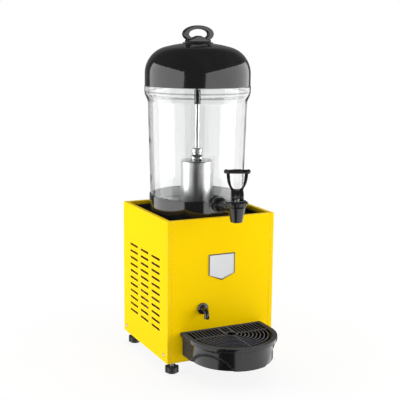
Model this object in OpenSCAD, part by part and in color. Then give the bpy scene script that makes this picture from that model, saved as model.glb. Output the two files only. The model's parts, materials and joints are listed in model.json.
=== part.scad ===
// Refrigerated drink dispenser: a square sheet-metal cooling cabinet that carries a lift-off clear
// tank with a domed lid, a fountain pump on a steel cooling drum, a tap and a hung drip tray.
// Millimetres. +Z is up, the tap and tray face -Y, the origin lies on the floor under the middle.

/* [Cabinet] */
// Width of the cabinet over the side panels
body_w = 260; // [250:1:300]
// Depth of the cabinet from front panel to back panel
body_d = 260; // [252:1:300]
// Height of the side panels
body_h = 317; // [310:1:360]
// Thickness of the cabinet sheet
sheet_t = 1.2; // [0.8:0.1:1.6]
// Width of the folded edges of the side panels
edge_w = 10; // [8:0.5:12]
// Depth of the folded lip below the top edge
edge_drop = 8; // [6:0.5:11]
// Height of the upturned edge of the base pan
pan_edge = 24; // [22:1:30]
// Gap between neighbouring sheets
sheet_gap = 0.2; // [0.1:0.05:0.4]

/* [Side vents] */
// Slots in one column
vent_rows = 11; // [6:1:12]
// Columns of slots
vent_cols = 3; // [2:1:3]
// Length of a slot
vent_len = 47; // [30:1:52]
// Height of a slot
vent_h = 5; // [3:0.5:7]
// Spacing of the columns
vent_pitch_y = 64; // [60:1:68]
// Spacing of the rows
vent_pitch_z = 15.9; // [12:0.1:17]
// Height of the lowest row above the cabinet's bottom edge
vent_bottom = 65; // [50:1:70]

/* [Feet] */
// Height of the cabinet above the floor
foot_h = 28; // [26:1:34]
// Diameter of the foot knob over its lobes
foot_d = 32; // [28:1:36]
// Lobes on the foot knob
foot_lobes = 8; // [6:1:10]
// Height of the foot knob
knob_h = 15; // [12:1:17]
// Diameter of the foot's threaded stud
stud_d = 8; // [6:1:10]
// Distance of a foot's axis from the cabinet's sides
foot_inset = 20; // [19:1:24]
// How far a foot can be screwed out
foot_travel = 10; // [6:1:14]

/* [Basin] */
// Depth of the basin floor below the cabinet's top edge
basin_depth = 24; // [20:1:30]
// Wall of the basin moulding
basin_wall = 3; // [2:0.5:4]
// Width of the basin lip that shows inside the folded edge
basin_lip = 6; // [4:0.5:6]
// Diameter of the basin's drain stub
stub_d = 12; // [10:0.5:13]
// Sideways place of the drain spout on the front panel
drain_x = -46; // [-60:1:-36]
// Height of the drain spout above the cabinet's bottom edge
drain_rise = 117; // [112:1:130]
// Diameter of the drain spout's flange
drain_flange_d = 25.6; // [22:0.2:30]
// Outside diameter of the drain spout's tube
drain_d = 11.6; // [10:0.2:12.5]
// Bend radius of the drain spout
drain_bend = 11; // [9:0.5:12]

/* [Cooling drum and pump] */
// Diameter of the cooling drum
drum_d = 74; // [66:1:80]
// Height of the drum's top above the cabinet
drum_rise = 109; // [95:1:125]
// Wall of the drum
drum_wall = 1.5; // [1:0.1:2.5]
// Diameter of the pump bell at its foot
bell_base_d = 31; // [29:0.5:34]
// Diameter of the pump bell at its waist
bell_waist_d = 22; // [20:0.5:24]
// Diameter of the pump bell's top flange
bell_top_d = 26; // [24:0.5:30]
// Height of the pump bell
bell_h = 27; // [25:0.5:32]
// Outside diameter of the riser tube
riser_d = 10.2; // [9:0.2:11]
// Length of bare riser tube between bell and spray cap
riser_len = 108; // [90:1:115]
// Diameter of the spray cap
cap_d = 14.4; // [13:0.2:18]
// Length of the spray cap
cap_len = 46; // [30:1:50]
// Diameter of the pump shaft
shaft_d = 5; // [4:0.5:6]

/* [Tank] */
// Gap between the tank's black base ring and the basin's wall
ring_margin = 5.7; // [5:0.1:8]
// Wall of the base ring beside the tank
ring_wall = 3.1; // [2.8:0.1:4]
// Height of the base ring's top above the cabinet
ring_rise = 32; // [30:1:36]
// How much wider the clear tank is at its neck than at its foot
neck_spread = 12.6; // [8:0.2:14]
// Thickness of the clear wall
tank_wall = 3; // [2:0.2:4]
// Height of the neck above the cabinet
neck_rise = 238; // [230:1:250]
// Height over which the neck swells to the flange under the lid
flare_h = 27; // [20:1:30]
// How much wider the collar inside the lid is than the neck
collar_spread = 7.4; // [6:0.2:9]
// How far the flange stands out over the collar
flange_out = 4.4; // [3:0.2:5]
// Height of the tank's rim above the neck
collar_h = 53; // [48:1:58]

/* [Lid] */
// How far the lid's outside stands out over the tank's collar
lid_over = 3.5; // [3.3:0.1:5]
// Wall of the lid
lid_wall = 2.8; // [2:0.1:3]
// How far the lid's skirt reaches below the tank's rim
lid_skirt = 14; // [8:1:18]
// Height of the whole lid without its handle
lid_h = 95.5; // [90:0.5:110]
// Radius of the lid's shoulder
shoulder_r = 60.5; // [50:0.5:62]
// Width of the lid handle's loop
loop_w = 74; // [60:1:84]
// Height of the lid handle above the lid
loop_h = 37; // [34:1:48]
// Width of the loop's band at the sides
loop_band = 13; // [9:0.5:14]
// Depth of the handle from front to back
loop_depth = 13; // [10:1:18]

/* [Tap] */
// Height of the tap's shank above the cabinet
tap_rise = 25; // [24:1:28]
// Distance from the front panel to the spout's axis
tap_reach = 65; // [60:1:80]
// Diameter of the shank
shank_d = 18.6; // [16:0.2:20]
// Diameter of the shank's flange
tap_flange_d = 35; // [32:1:38]
// Diameter of the spout's top
spout_d = 37.4; // [36:0.2:40]
// Diameter of the spout's mouth
mouth_d = 26; // [24:0.5:28]
// Height of the spout
spout_h = 31.5; // [30:0.5:34]
// Diameter of the bonnet
bonnet_d = 45; // [42:0.5:50]
// Height of the bonnet
bonnet_h = 14; // [13:0.5:18]
// Diameter of the tap's stem
stem_d = 6; // [5:0.5:7]
// Width of the handle's hub
hub_w = 26; // [24:0.5:30]
// Height of the handle's hub
hub_h = 24; // [22:0.5:27]
// Width of the handle's T bar
bar_w = 57; // [52:1:66]
// Diameter of the T bar
bar_d = 9; // [8:0.5:11]
// Width of the window in the handle
window_w = 27; // [24:0.5:30]
// Height of the window in the handle
window_h = 34; // [30:0.5:37]
// Thickness of the handle's arms
arm_t = 8; // [6:0.5:9]
// Angle by which the handle is swung round the spout
handle_turn = -24; // [-45:1:45]

/* [Drip tray] */
// Width of the tray over its rim
tray_w = 199; // [190:1:210]
// Length of the tray's straight sides
tray_straight = 51; // [45:1:60]
// Height of the tray
tray_h = 52; // [48:1:54]
// Height of the tray's underside above the cabinet's bottom edge
tray_bottom = 17; // [12:1:20]
// Wall of the tray
tray_wall = 2.5; // [2:0.1:3.5]
// Height of the rim
rim_h = 9.5; // [8:0.5:12]
// Width of the rim around the grille
rim_w = 10.5; // [10:0.5:13]
// How far the rim stands out over the wall
rim_over = 5; // [3:0.5:6]
// Depth of the arched recesses in the tray's wall
arch_depth = 3.6; // [2:0.2:4.4]
// Radius of an arched recess
arch_r = 62; // [54:1:70]
// Height of an arched recess
arch_rise = 32; // [24:1:36]
// Angle of an arched recess from straight ahead
arch_angle = 58; // [50:1:62]

/* [Grille] */
// Spacing of the slots
slot_pitch = 8.3; // [7:0.1:9]
// Width of a slot
slot_w = 4.8; // [3.5:0.1:5.5]
// Thickness of the grille
grille_t = 5; // [4:0.5:6]
// Diameter of the drain hole
hole_d = 20; // [14:0.5:24]
// Width of the collar around the drain hole
hole_collar = 3; // [2:0.5:4]

/* [Badge plate] */
// Width of the plate
badge_w = 64; // [40:1:80]
// Height of the plate's straight sides
badge_side = 46; // [30:1:56]
// Height of the plate with its point
badge_h = 60; // [58:1:72]
// Height of the plate's top above the cabinet's bottom edge
badge_rise = 236; // [200:1:260]

/* [Rear controls] */
// Diameter of the thermostat knob
dial_d = 36; // [30:1:44]
// Length of the thermostat knob
dial_h = 14; // [13:0.5:20]
// Width of a rocker switch's housing
switch_w = 22; // [20:0.5:26]
// Height of a rocker switch's housing
switch_h = 31; // [28:0.5:36]
// Spacing of the two switches
switch_pitch = 34; // [30:1:44]
// Height of the controls above the cabinet's bottom edge
control_rise = 262; // [258:1:268]
// Bore of the mains cable gland
gland_bore = 8; // [6:0.5:10]

/* [Cooling unit] */
// Diameter of the compressor's shell
shell_d = 108; // [96:1:116]
// Height of the compressor's shell
shell_h = 92; // [84:1:98]
// Width of the condenser
cond_w = 190; // [170:1:200]
// Height of the condenser
cond_h = 176; // [160:1:185]
// Thickness of the condenser
cond_d = 34; // [28:1:36]
// Fins on the condenser
fin_count = 26; // [16:1:32]
// Diameter of the fan
fan_d = 132; // [120:1:144]
// Blades on the fan
blade_count = 5; // [4:1:7]

/* [Hidden] */
$fn = 64;
eps = 0.01;
slide_fit = 0.05;
run_fit = 0.06;
loose_fit = 0.5;
seat_gap = 0.3;
hole_fit = 0.4;
yellow = "#f6d200";
black = "#1b1c1e";
steel = "#c4c7ca";
copper = "#b87345";
rubber = "#2b2b2c";

// Levels of the cabinet
z_bottom = foot_h;
z_top = foot_h + body_h;
z_lip = z_top - edge_drop;
z_floor = z_top - basin_depth;
z_pan = z_bottom + sheet_t;

// Places along the depth, measured from the front panel
tray_r = tray_w / 2;
tray_reach = tray_straight + tray_r;
dial_gap = 1;
rear_reach = dial_h + dial_gap;
front_y = (tray_reach - body_d - rear_reach) / 2;
axis_y = body_d / 2;
half_w = body_w / 2;
panel_half = half_w - edge_w - sheet_gap;

// Screws and small hardware
screw_d = 4;
screw_head_d = 8;
screw_head_h = 2;
screw_shank = 6;
screw_head_edge = 0.6;
recess_len = 4.4;
recess_w = 0.9;
recess_deep = 1;
screw_z = z_bottom + 16;
screw_inset = 20;
lock_nut_h = 4;
weld_nut_h = 8;
nut_over = 1.65;
foot_tail = 4;

// Basin and its drain
basin_half = half_w - edge_w - basin_lip;
basin_front = edge_w + basin_lip;
basin_back = body_d - edge_w - basin_lip;
basin_corner = 12;
basin_edge_gap = 0.5;
stub_x = -(basin_half - 17);
stub_y = basin_front + 17;
stub_len = 22;
stub_bore = stub_d - 4;
hose_wall = 2.4;
hose_fit = 0.1;
hose_rise = 60;
drain_z = z_bottom + drain_rise;
drain_flange_t = 4;
drain_lead = 7;
drain_drop = 7;
drain_tail = 24;
drain_bore = drain_d - 4;
drain_nut_h = 6;
hose_y = sheet_t + drain_tail + 6;

// Cooling drum, pump and riser
z_drum = z_top + drum_rise;
drum_flange_d = drum_d + 30;
drum_flange_t = 3;
drum_roof = 3;
shaft_tube_d = shaft_d + 6;
basin_hole_d = drum_d - 14;
motor_d = 32;
motor_flange_d = basin_hole_d + 14;
motor_flange_t = 6;
motor_h = 48;
motor_gap = 0.3;
z_motor_top = z_floor - basin_wall - motor_gap;
impeller_d = bell_waist_d - 5;
impeller_h = 7;
impeller_lift = 1.5;
bell_flange_h = 6;
bell_roof = 9;
riser_wall = 1;
riser_grip = 7;
z_bell = z_drum + bell_h;
z_cap = z_bell + riser_len;
cap_grip = 12;

// Tank
z_neck = z_top + neck_rise;
z_rim = z_neck + collar_h;
z_ring = z_top + ring_rise;
ring_d = 2 * min(basin_half, axis_y - basin_front) - 2 * ring_margin;
tank_low_d = ring_d - 2 * ring_wall;
tank_neck_d = tank_low_d + neck_spread;
collar_d = tank_neck_d + collar_spread;
tank_floor_z = z_top + 6;
tank_floor_t = 4;
tank_foot_z = tank_floor_z + tank_floor_t;
seal_d = drum_d + 12;
seal_lip = seat_gap;
flare_steps = 12;
gasket_t = 1.2;
gasket_lip = 1.5;

// Lid: a shoulder arc that runs tangent into a wide crown arc
z_skirt = z_rim - lid_skirt;
z_crown = z_skirt + lid_h;
lid_d = collar_d + 2 * lid_over;
lid_r = lid_d / 2;
shoulder_x = lid_r - shoulder_r;
shoulder_low = 27;
z_shoulder = z_skirt + shoulder_low;
crown_drop = z_crown - z_shoulder - shoulder_r;
crown_u = (pow(shoulder_x, 2) - pow(crown_drop, 2)) / (2 * crown_drop);
crown_r = shoulder_r + crown_drop + crown_u;
z_crown_centre = z_crown - crown_r;
crown_lean = atan2(shoulder_x, z_shoulder - z_crown_centre);
lid_pad_r = loop_w * 0.46;
lid_pad_t = 3;
pad_rise = 0.4;
z_pad = z_crown + pad_rise;
grip_screw_d = 5;
grip_screw_in = 12;

// Tap
z_shank = z_top + tap_rise;
tap_y = -tap_reach;
boss_d = tap_flange_d - 2;
boss_out = 1.8;
boss_y = axis_y - ring_d / 2 - boss_out;
washer_t = 1.6;
flange_t = 7;
shank_bore = shank_d - 10.6;
lug_d = 5;
lug_out = 3;
lug_back = 22;
lug_angle = 115;
spout_wall = 3;
tap_nut_h = 8;
tap_nut_d = 30;
inner_washer_d = 34;
inner_washer_t = 6;
shank_in = axis_y - tank_low_d / 2 + tank_wall + inner_washer_t + tap_nut_h + 4;
cup_over = 4.5;
z_spout_top = z_shank + shank_bore / 2 + cup_over;
z_mouth = z_spout_top - spout_h;
cavity_d = spout_d - 8.4;
cavity_floor = 7;
outlet_d = mouth_d - 12;
z_bonnet = z_spout_top + bonnet_h;
plug_h = 5;
hub_gap = 0.4;
cam_r = 12;
cam_forward = 6;
cam_up = 3;
z_pin = z_bonnet + hub_gap + cam_r - cam_up;
pin_d = 4;
hub_slot = stem_d + 2.4;
hub_depth = 14;
z_hub = z_bonnet + hub_gap + hub_h;
z_bar = z_hub + window_h + bar_d / 2 - 1;
bar_knob_d = bar_d + 1.6;
handle_depth = 8;
z_under = z_bar - bar_d / 2;
bow_r = 47;
window_bow = 55;
window_round = 7;
flute_d = 13;
flute_in = 0.8;
cup_d = outlet_d + 6;
cup_h = 8;
z_cup = z_mouth + cavity_floor;

// Drip tray, measured from the front panel
tray_gap = 0.4;
z_tray = z_bottom + tray_bottom;
z_tray_top = z_tray + tray_h;
wall_r = tray_r - rim_over;
core_r = wall_r - arch_depth;
well_r = core_r - tray_wall;
grille_r = tray_r - rim_w;
grille_fit = 0.5;
grille_sink = 0.8;
seat_w = 3.5;
seat_t = 3;
z_seat = z_tray_top - grille_sink - grille_t;
roof_t = 3;
z_roof = z_seat - roof_t;
channel_d = 11;
cheek_w = 4;
hook_w = 140;
hook_t = 3;
hook_h = 8;
hook_y = 3;
bracket_t = 1.5;
bracket_out = 8.5;
bracket_lip = 12;
bracket_leg = 18;
back_rim = 3;
arch_step = 3.5;

// Rear controls
z_control = z_bottom + control_rise;
dial_x = 62;
switch_x = -58;
housing_out = 3;
housing_in = 20;
housing_rim = 2.5;
rocker_fit = 0.6;
rocker_tilt = 9;
rocker_proud = 2.4;
thermostat_w = 40;
thermostat_d = 22;
dial_shaft_d = 6;
gland_side = 34;
gland_rise = 42;
gland_x = half_w - gland_side;
gland_z = z_bottom + gland_rise;
gland_out = 10;
gland_in = 14;
gland_wall = 3;

// Cooling unit
shell_y = 74;
grommet_d = 18;
grommet_h = 10;
grommet_lip = 4;
grommet_bore = 6.4;
mount_bolt_d = 6;
mount_nut_h = 5;
mount_plate_t = 3;
relay_w = 40;
relay_h = 30;
relay_low = 14;
relay_out = 18;
suction_port = 40;
suction_side = 14;
suction_step = 20;
line_under = 12;
line_up = 30;
mount_x = 48;
mount_y = 44;
z_shell = z_pan + grommet_h + mount_plate_t;
// The condenser stands between the back feet's nuts, or in front of them where it is the wider one
foot_nut_r = stud_d * nut_over / 2 / cos(30);
cond_clear = 2;
cond_stand = 13;
cond_lift = 4;
cond_foot = 8;
cond_end_t = 1.5;
cond_room = half_w - foot_inset - foot_nut_r - cond_clear;
cond_inset = cond_w / 2 < cond_room ? sheet_t + cond_stand : foot_inset + foot_nut_r + cond_clear;
cond_back = body_d - cond_inset;
cond_front = cond_back - cond_d;
cond_z = z_pan + cond_lift;
fin_t = 0.8;
tube_rows = 6;
tube_d = 9;
shroud_t = 2;
shroud_gap = 0.5;
shroud_toe = 14;
shroud_foot = 12;
foot_lap = 1;
shroud_y = cond_front - shroud_gap;
fan_z = cond_z + cond_h / 2;
fan_gap = 4;
blade_w = 14;
blade_pitch = 32;
fan_hub_d = 34;
fan_motor_d = 38;
fan_motor_h = 26;
fan_y = shroud_y - shroud_t - 3;
fan_shaft_d = 4;
fan_tail = 14;
blade_t = 1.8;
blade_root = 5;
back_vent_rows = 10;
back_vent_pitch = 56;
back_vent_low = 14;
line_d = 7;
line_stand = 14;
line_side = 10;
shell_port = 30;
shell_port_x = 20;
port_sink = 4;
pipe_rise = 20;
elbow_over = 0.6;
drier_d = 18;
drier_len = 70;

module in_cabinet() {
    translate([0, front_y, 0]) children();
}

module on_axis() {
    translate([0, front_y + axis_y, 0]) children();
}

module both_sides() {
    children();
    mirror([1, 0, 0]) children();
}

module span(low, high) {
    translate(low) cube(high - low);
}

// A round bar from one point to another
module rod(from, to, d) {
    run = to - from;
    translate(from)
        rotate([0, acos(run.z / norm(run)), atan2(run.y, run.x)])
            cylinder(d = d, h = norm(run));
}

// A bent tube along corner points
module pipe(points, d) {
    for (i = [0 : len(points) - 2]) rod(points[i], points[i + 1], d);
    for (i = [1 : len(points) - 2]) translate(points[i]) sphere(d = d + elbow_over);
}

// A bar along +Y
module bar_y(d, y0, y1) {
    translate([0, y0, 0]) rotate([-90, 0, 0]) cylinder(d = d, h = y1 - y0);
}

// A bar along X, centred
module bar_x(d, w) {
    rotate([0, 90, 0]) cylinder(d = d, h = w, center = true);
}

module hex(across, h) {
    cylinder(d = across / cos(30), h = h, $fn = 6);
}

// Upright block with round corners
module round_block(x0, x1, y0, y1, z0, z1, r) {
    span([x0 + r, y0, z0], [x1 - r, y1, z1]);
    span([x0, y0 + r, z0], [x1, y1 - r, z1]);
    for (x = [x0 + r, x1 - r], y = [y0 + r, y1 - r])
        translate([x, y, z0]) cylinder(r = r, h = z1 - z0);
}

// A round-ended slot along Y that cuts through X
module side_slot(len, h, depth) {
    cube([depth, len - h, h], center = true);
    for (s = [-1, 1]) translate([0, s * (len - h) / 2, 0]) bar_x(h, depth);
}

// A round-ended slot along X that cuts through Y
module face_slot(len, h, depth) {
    rotate([0, 0, 90]) side_slot(len, h, depth);
}

module foot_places() {
    for (x = [-1, 1], y = [foot_inset, body_d - foot_inset])
        translate([x * (half_w - foot_inset), y, 0]) children();
}

module side_screw_places() {
    for (y = [screw_inset, body_d - screw_inset]) translate([-half_w, y, screw_z]) children();
}

// Cabinet

module base_pan() {
    x = half_w - sheet_t - sheet_gap;
    y0 = sheet_t + sheet_gap;
    y1 = body_d - sheet_t - sheet_gap;
    color(steel) in_cabinet() difference() {
        span([-x, y0, z_bottom], [x, y1, z_bottom + pan_edge]);
        span([sheet_t - x, y0 + sheet_t, z_pan], [x - sheet_t, y1 - sheet_t, z_bottom + pan_edge + 1]);
        foot_places() translate([0, 0, z_bottom - 1]) cylinder(d = stud_d + hole_fit, h = sheet_t + 2);
        both_sides() side_screw_places() bar_x(screw_d, 20);
        back_screw_places() bar_y(screw_d, -5, 5);
    }
}

module side_panel() {
    color(yellow) in_cabinet() difference() {
        union() {
            span([-half_w, 0, z_bottom], [sheet_t - half_w, body_d, z_top]);
            span([-half_w, 0, z_bottom], [edge_w - half_w, sheet_t, z_top]);
            span([-half_w, body_d - sheet_t, z_bottom], [edge_w - half_w, body_d, z_top]);
            span([-half_w, 0, z_top - sheet_t], [edge_w - half_w, body_d, z_top]);
            span([edge_w - half_w - sheet_t, 0, z_lip], [edge_w - half_w, body_d, z_top]);
        }
        for (row = [0 : vent_rows - 1], col = [0 : vent_cols - 1])
            translate([
                -half_w,
                axis_y + (col - (vent_cols - 1) / 2) * vent_pitch_y,
                z_bottom + vent_bottom + row * vent_pitch_z
            ]) side_slot(vent_len, vent_h, 6 * sheet_t);
        side_screw_places() bar_x(screw_d + hole_fit, 20);
    }
}

module left_side_panel() {
    side_panel();
}

module right_side_panel() {
    mirror([1, 0, 0]) side_panel();
}

// Front or back sheet with its folded top edge, before its holes are cut
module end_sheet() {
    fold_z = z_bottom + pan_edge + 1;
    span([-panel_half, 0, z_bottom], [panel_half, sheet_t, z_top]);
    span([-panel_half, 0, z_top - sheet_t], [panel_half, edge_w, z_top]);
    span([-panel_half, edge_w - sheet_t, z_lip], [panel_half, edge_w, z_top]);
    both_sides() span([-panel_half, 0, fold_z], [sheet_t - panel_half, edge_w, z_lip - basin_wall - 1]);
}

module bracket_screw_places() {
    for (x = [-1, 1]) translate([x * hook_w * 0.36, 0, z_roof - bracket_lip - bracket_leg / 2]) children();
}

module front_panel() {
    color(yellow) in_cabinet() difference() {
        end_sheet();
        translate([drain_x, 0, drain_z]) bar_y(stub_d + hole_fit, -5, 5);
        bracket_screw_places() bar_y(screw_d, -5, 5);
    }
}

module back_screw_places() {
    for (x = [-1, 1]) translate([x * (panel_half - screw_inset), body_d, screw_z]) children();
}

module back_panel() {
    color(yellow) in_cabinet() difference() {
        translate([0, body_d, 0]) mirror([0, 1, 0]) end_sheet();
        for (row = [0 : back_vent_rows - 1], s = [-1, 0, 1])
            translate([s * back_vent_pitch, body_d, cond_z + back_vent_low + row * vent_pitch_z])
                face_slot(vent_len, vent_h, 6 * sheet_t);
        for (s = [-1, 1]) translate([switch_x + s * switch_pitch / 2, body_d, z_control])
            cube([switch_w - 3, 10, switch_h - 3], center = true);
        translate([dial_x, 0, z_control]) bar_y(dial_shaft_d + 4, body_d - 5, body_d + 5);
        translate([gland_x, 0, gland_z])
            bar_y(gland_bore + 2 * gland_wall + hole_fit, body_d - 5, body_d + 5);
        back_screw_places() bar_y(screw_d + hole_fit, -5, 5);
    }
}

module basin() {
    x = half_w - sheet_t - basin_edge_gap;
    color(black) in_cabinet() difference() {
        union() {
            span(
                [-x, sheet_t + basin_edge_gap, z_lip - basin_wall],
                [x, body_d - sheet_t - basin_edge_gap, z_lip]
            );
            round_block(
                -basin_half - basin_wall, basin_half + basin_wall, basin_front - basin_wall,
                basin_back + basin_wall, z_floor - basin_wall, z_lip, basin_corner + basin_wall
            );
            translate([stub_x, stub_y, z_floor - stub_len]) cylinder(d = stub_d, h = stub_len);
        }
        round_block(-basin_half, basin_half, basin_front, basin_back, z_floor, z_top, basin_corner);
        translate([0, axis_y, z_floor - 2 * basin_wall]) cylinder(d = basin_hole_d, h = 4 * basin_wall);
        translate([stub_x, stub_y, z_floor - stub_len - 1]) cylinder(d = stub_bore, h = stub_len + 5);
    }
}

module basin_rails() {
    leg = 14;
    z = z_lip - basin_wall;
    x = half_w - sheet_t;
    color(steel) in_cabinet() both_sides() {
        span([-x, edge_w + 2, z - leg], [1.5 - x, body_d - edge_w - 2, z]);
        span([-x, edge_w + 2, z - 1.5], [-basin_half - basin_wall - 1, body_d - edge_w - 2, z]);
    }
}

// Pan-head screw whose head's underside is at the origin and whose shank runs along +Z
module pan_screw(shank) {
    translate([0, 0, -screw_head_h]) difference() {
        union() {
            cylinder(d = screw_head_d - 2 * screw_head_edge, h = screw_head_h);
            translate([0, 0, screw_head_edge]) cylinder(d = screw_head_d, h = screw_head_h - screw_head_edge);
            cylinder(d = screw_d - 0.2, h = screw_head_h + shank);
        }
        for (a = [0, 90]) rotate([0, 0, a]) cube([recess_len, recess_w, 2 * recess_deep], center = true);
    }
}

module panel_screws() {
    color(steel) in_cabinet() {
        both_sides() side_screw_places() rotate([0, 90, 0]) pan_screw(screw_shank);
        back_screw_places() rotate([90, 0, 0]) pan_screw(screw_shank);
        bracket_screw_places() translate([0, -bracket_t, 0]) rotate([-90, 0, 0]) pan_screw(screw_shank);
    }
}

module badge_outline(inset) {
    w = badge_w / 2 - inset;
    polygon([
        [-w, -inset], [w, -inset], [w, -badge_side], [0, inset * 1.2 - badge_h], [-w, -badge_side]
    ]);
}

module badge_plate() {
    face = 1.2;
    border = 2.4;
    color(steel) in_cabinet() translate([0, 0, z_bottom + badge_rise]) rotate([90, 0, 0]) {
        linear_extrude(face) badge_outline(0);
        linear_extrude(face + 0.8) difference() {
            badge_outline(0);
            badge_outline(border);
        }
    }
}

// Drain spout: flange, quarter bend and outlet, with its bore all the way through
module drain_path(d, tail, extra) {
    bar_y(d, -drain_flange_t - drain_lead, tail);
    translate([0, -drain_flange_t - drain_lead, -drain_bend])
        rotate([0, -90, 180]) rotate_extrude(angle = 90) translate([drain_bend, 0]) circle(d = d);
    translate([0, -drain_flange_t - drain_lead - drain_bend, -drain_bend - drain_drop - extra])
        cylinder(d = d, h = drain_drop + extra);
}

module drain_spout() {
    color(black) in_cabinet() translate([drain_x, 0, drain_z]) difference() {
        union() {
            bar_y(drain_flange_d, -drain_flange_t, 0);
            drain_path(drain_d, 0, 0);
            bar_y(stub_d, 0, drain_tail);
        }
        drain_path(drain_bore, drain_tail + 1, 1);
    }
}

module drain_nut() {
    color(black) in_cabinet() translate([drain_x, sheet_t, drain_z]) rotate([-90, 0, 0]) difference() {
        hex(stub_d * nut_over, drain_nut_h);
        translate([0, 0, -1]) cylinder(d = stub_d + 2 * slide_fit, h = drain_nut_h + 2);
    }
}

module drain_hose() {
    inner = stub_d + 2 * hose_fit;
    outer = inner + 2 * hose_wall;
    top = [stub_x, stub_y, z_floor - basin_wall - 2];
    bend = [stub_x, stub_y, drain_z + hose_rise];
    low = [drain_x, hose_y, drain_z];
    end = [drain_x, sheet_t + drain_nut_h + 2, drain_z];
    color(rubber) in_cabinet() difference() {
        pipe([top, bend, low, end], outer);
        pipe([top + [0, 0, 1], bend, low, end - [0, 1, 0]], inner);
    }
}

// Drip tray and its carrier

module tray_bracket() {
    z = z_roof - bracket_lip;
    w = hook_w / 2 + 4;
    color(steel) in_cabinet() difference() {
        union() {
            span([-w, -bracket_t, z - bracket_leg], [w, 0, z + bracket_t]);
            span([-w, -bracket_out, z], [w, 0, z + bracket_t]);
            span([-w, -bracket_out, z], [w, bracket_t - bracket_out, z_roof]);
        }
        bracket_screw_places() bar_y(screw_d, -5, 5);
    }
}

// Straight sides that run into a half round, with the flat side at y = -back
module tray_outline(r, back) {
    translate([0, -tray_straight]) intersection() {
        union() {
            circle(r);
            translate([-r, 0]) square([2 * r, tray_straight]);
        }
        translate([-r, -r]) square([2 * r, r + tray_straight - back]);
    }
}

module tray_block(r, back, z0, z1) {
    translate([0, 0, z0]) linear_extrude(z1 - z0) tray_outline(r, back);
}

// Skirt with two arched recesses, stepped at their edges
module tray_skirt() {
    arch_z = z_tray + arch_rise - arch_r;
    z1 = z_tray_top - rim_h;
    mid_r = (wall_r + core_r) / 2;
    tray_block(core_r, tray_gap, z_tray, z1);
    for (layer = [[mid_r, arch_r - arch_step], [wall_r, arch_r]]) difference() {
        tray_block(layer[0], tray_gap, z_tray, z1);
        for (s = [-1, 1])
            translate([0, -tray_straight, arch_z]) rotate([0, 0, s * arch_angle])
                bar_y(2 * layer[1], -2 * tray_r, 0);
    }
}

module drip_tray() {
    hook_z = z_roof - hook_h;
    well_back = channel_d + tray_wall;
    color(black) in_cabinet() {
        difference() {
            union() {
                tray_skirt();
                tray_block(tray_r, tray_gap, z_tray_top - rim_h, z_tray_top);
            }
            tray_block(grille_r, back_rim + tray_gap, z_seat, z_tray_top + 1);
            tray_block(well_r - seat_w, well_back, z_tray + tray_wall, z_tray_top);
            tray_block(well_r, well_back, z_tray + tray_wall, z_seat - seat_t);
            span([cheek_w - wall_r, -channel_d, z_tray - 1], [wall_r - cheek_w, 1, z_roof]);
        }
        span([-hook_w / 2, -hook_y - hook_t, hook_z], [hook_w / 2, -hook_y, z_roof + 1]);
    }
}

// Slots of the grille: half rings round the drain hole that run straight back to the panel
module grille_slots() {
    rib = 2;
    collar_r = hole_d / 2 + hole_collar;
    r_out = grille_r - grille_fit - slot_w / 2 - 2;
    first = collar_r + slot_w / 2 + 2;
    count = floor((r_out - first) / slot_pitch);
    back = back_rim + tray_gap + 4;
    module straight(x, y0) {
        translate([x - slot_w / 2, y0]) square([slot_w, -back - y0]);
    }
    for (k = [0 : count]) {
        r = first + k * slot_pitch;
        intersection() {
            translate([0, -tray_straight]) difference() {
                circle(r + slot_w / 2);
                circle(r - slot_w / 2);
            }
            for (s = [-1, 1]) translate([s * (rib + grille_r) / 2 , -tray_straight - rib - grille_r / 2])
                square([grille_r - rib, grille_r], center = true);
        }
        for (s = [-1, 1]) straight(s * r, rib - tray_straight);
    }
    for (x = [-1, 1]) straight(x * slot_pitch / 2, collar_r + rib - tray_straight);
}

module drip_grille() {
    collar_up = 0.6;
    r = grille_r - grille_fit;
    color(black) in_cabinet() difference() {
        union() {
            translate([0, 0, z_seat]) linear_extrude(grille_t) difference() {
                tray_outline(r, back_rim + tray_gap + grille_fit);
                grille_slots();
            }
            translate([0, -tray_straight, z_seat])
                cylinder(d = hole_d + 2 * hole_collar, h = grille_t + collar_up);
        }
        translate([0, -tray_straight, z_seat - 1]) cylinder(d = hole_d, h = grille_t + 3);
    }
}

// Feet

module foot(x, y) {
    stud_top = z_pan + weld_nut_h + foot_travel + foot_tail;
    lobe_d = 6.4;
    color(black) in_cabinet() translate([x, y, 0]) {
        cylinder(d1 = foot_d - 8, d2 = foot_d - 5, h = 2);
        translate([0, 0, 2]) {
            cylinder(d = foot_d - 5, h = knob_h - 2);
            for (i = [1 : foot_lobes]) rotate([0, 0, i * 360 / foot_lobes])
                translate([(foot_d - lobe_d) / 2, 0, 0]) cylinder(d = lobe_d, h = knob_h - 2);
        }
        cylinder(d = stud_d, h = stud_top);
    }
}

module foot_front_left() {
    foot(foot_inset - half_w, foot_inset);
}

module foot_front_right() {
    foot(half_w - foot_inset, foot_inset);
}

module foot_back_left() {
    foot(foot_inset - half_w, body_d - foot_inset);
}

module foot_back_right() {
    foot(half_w - foot_inset, body_d - foot_inset);
}

module foot_nuts() {
    color(steel) in_cabinet() foot_places() difference() {
        union() {
            translate([0, 0, z_bottom - lock_nut_h]) hex(stud_d * nut_over, lock_nut_h);
            translate([0, 0, z_pan]) hex(stud_d * nut_over, weld_nut_h);
        }
        cylinder(d = stud_d + 2 * run_fit, h = z_top);
    }
}

// Cooling drum and fountain pump

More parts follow.
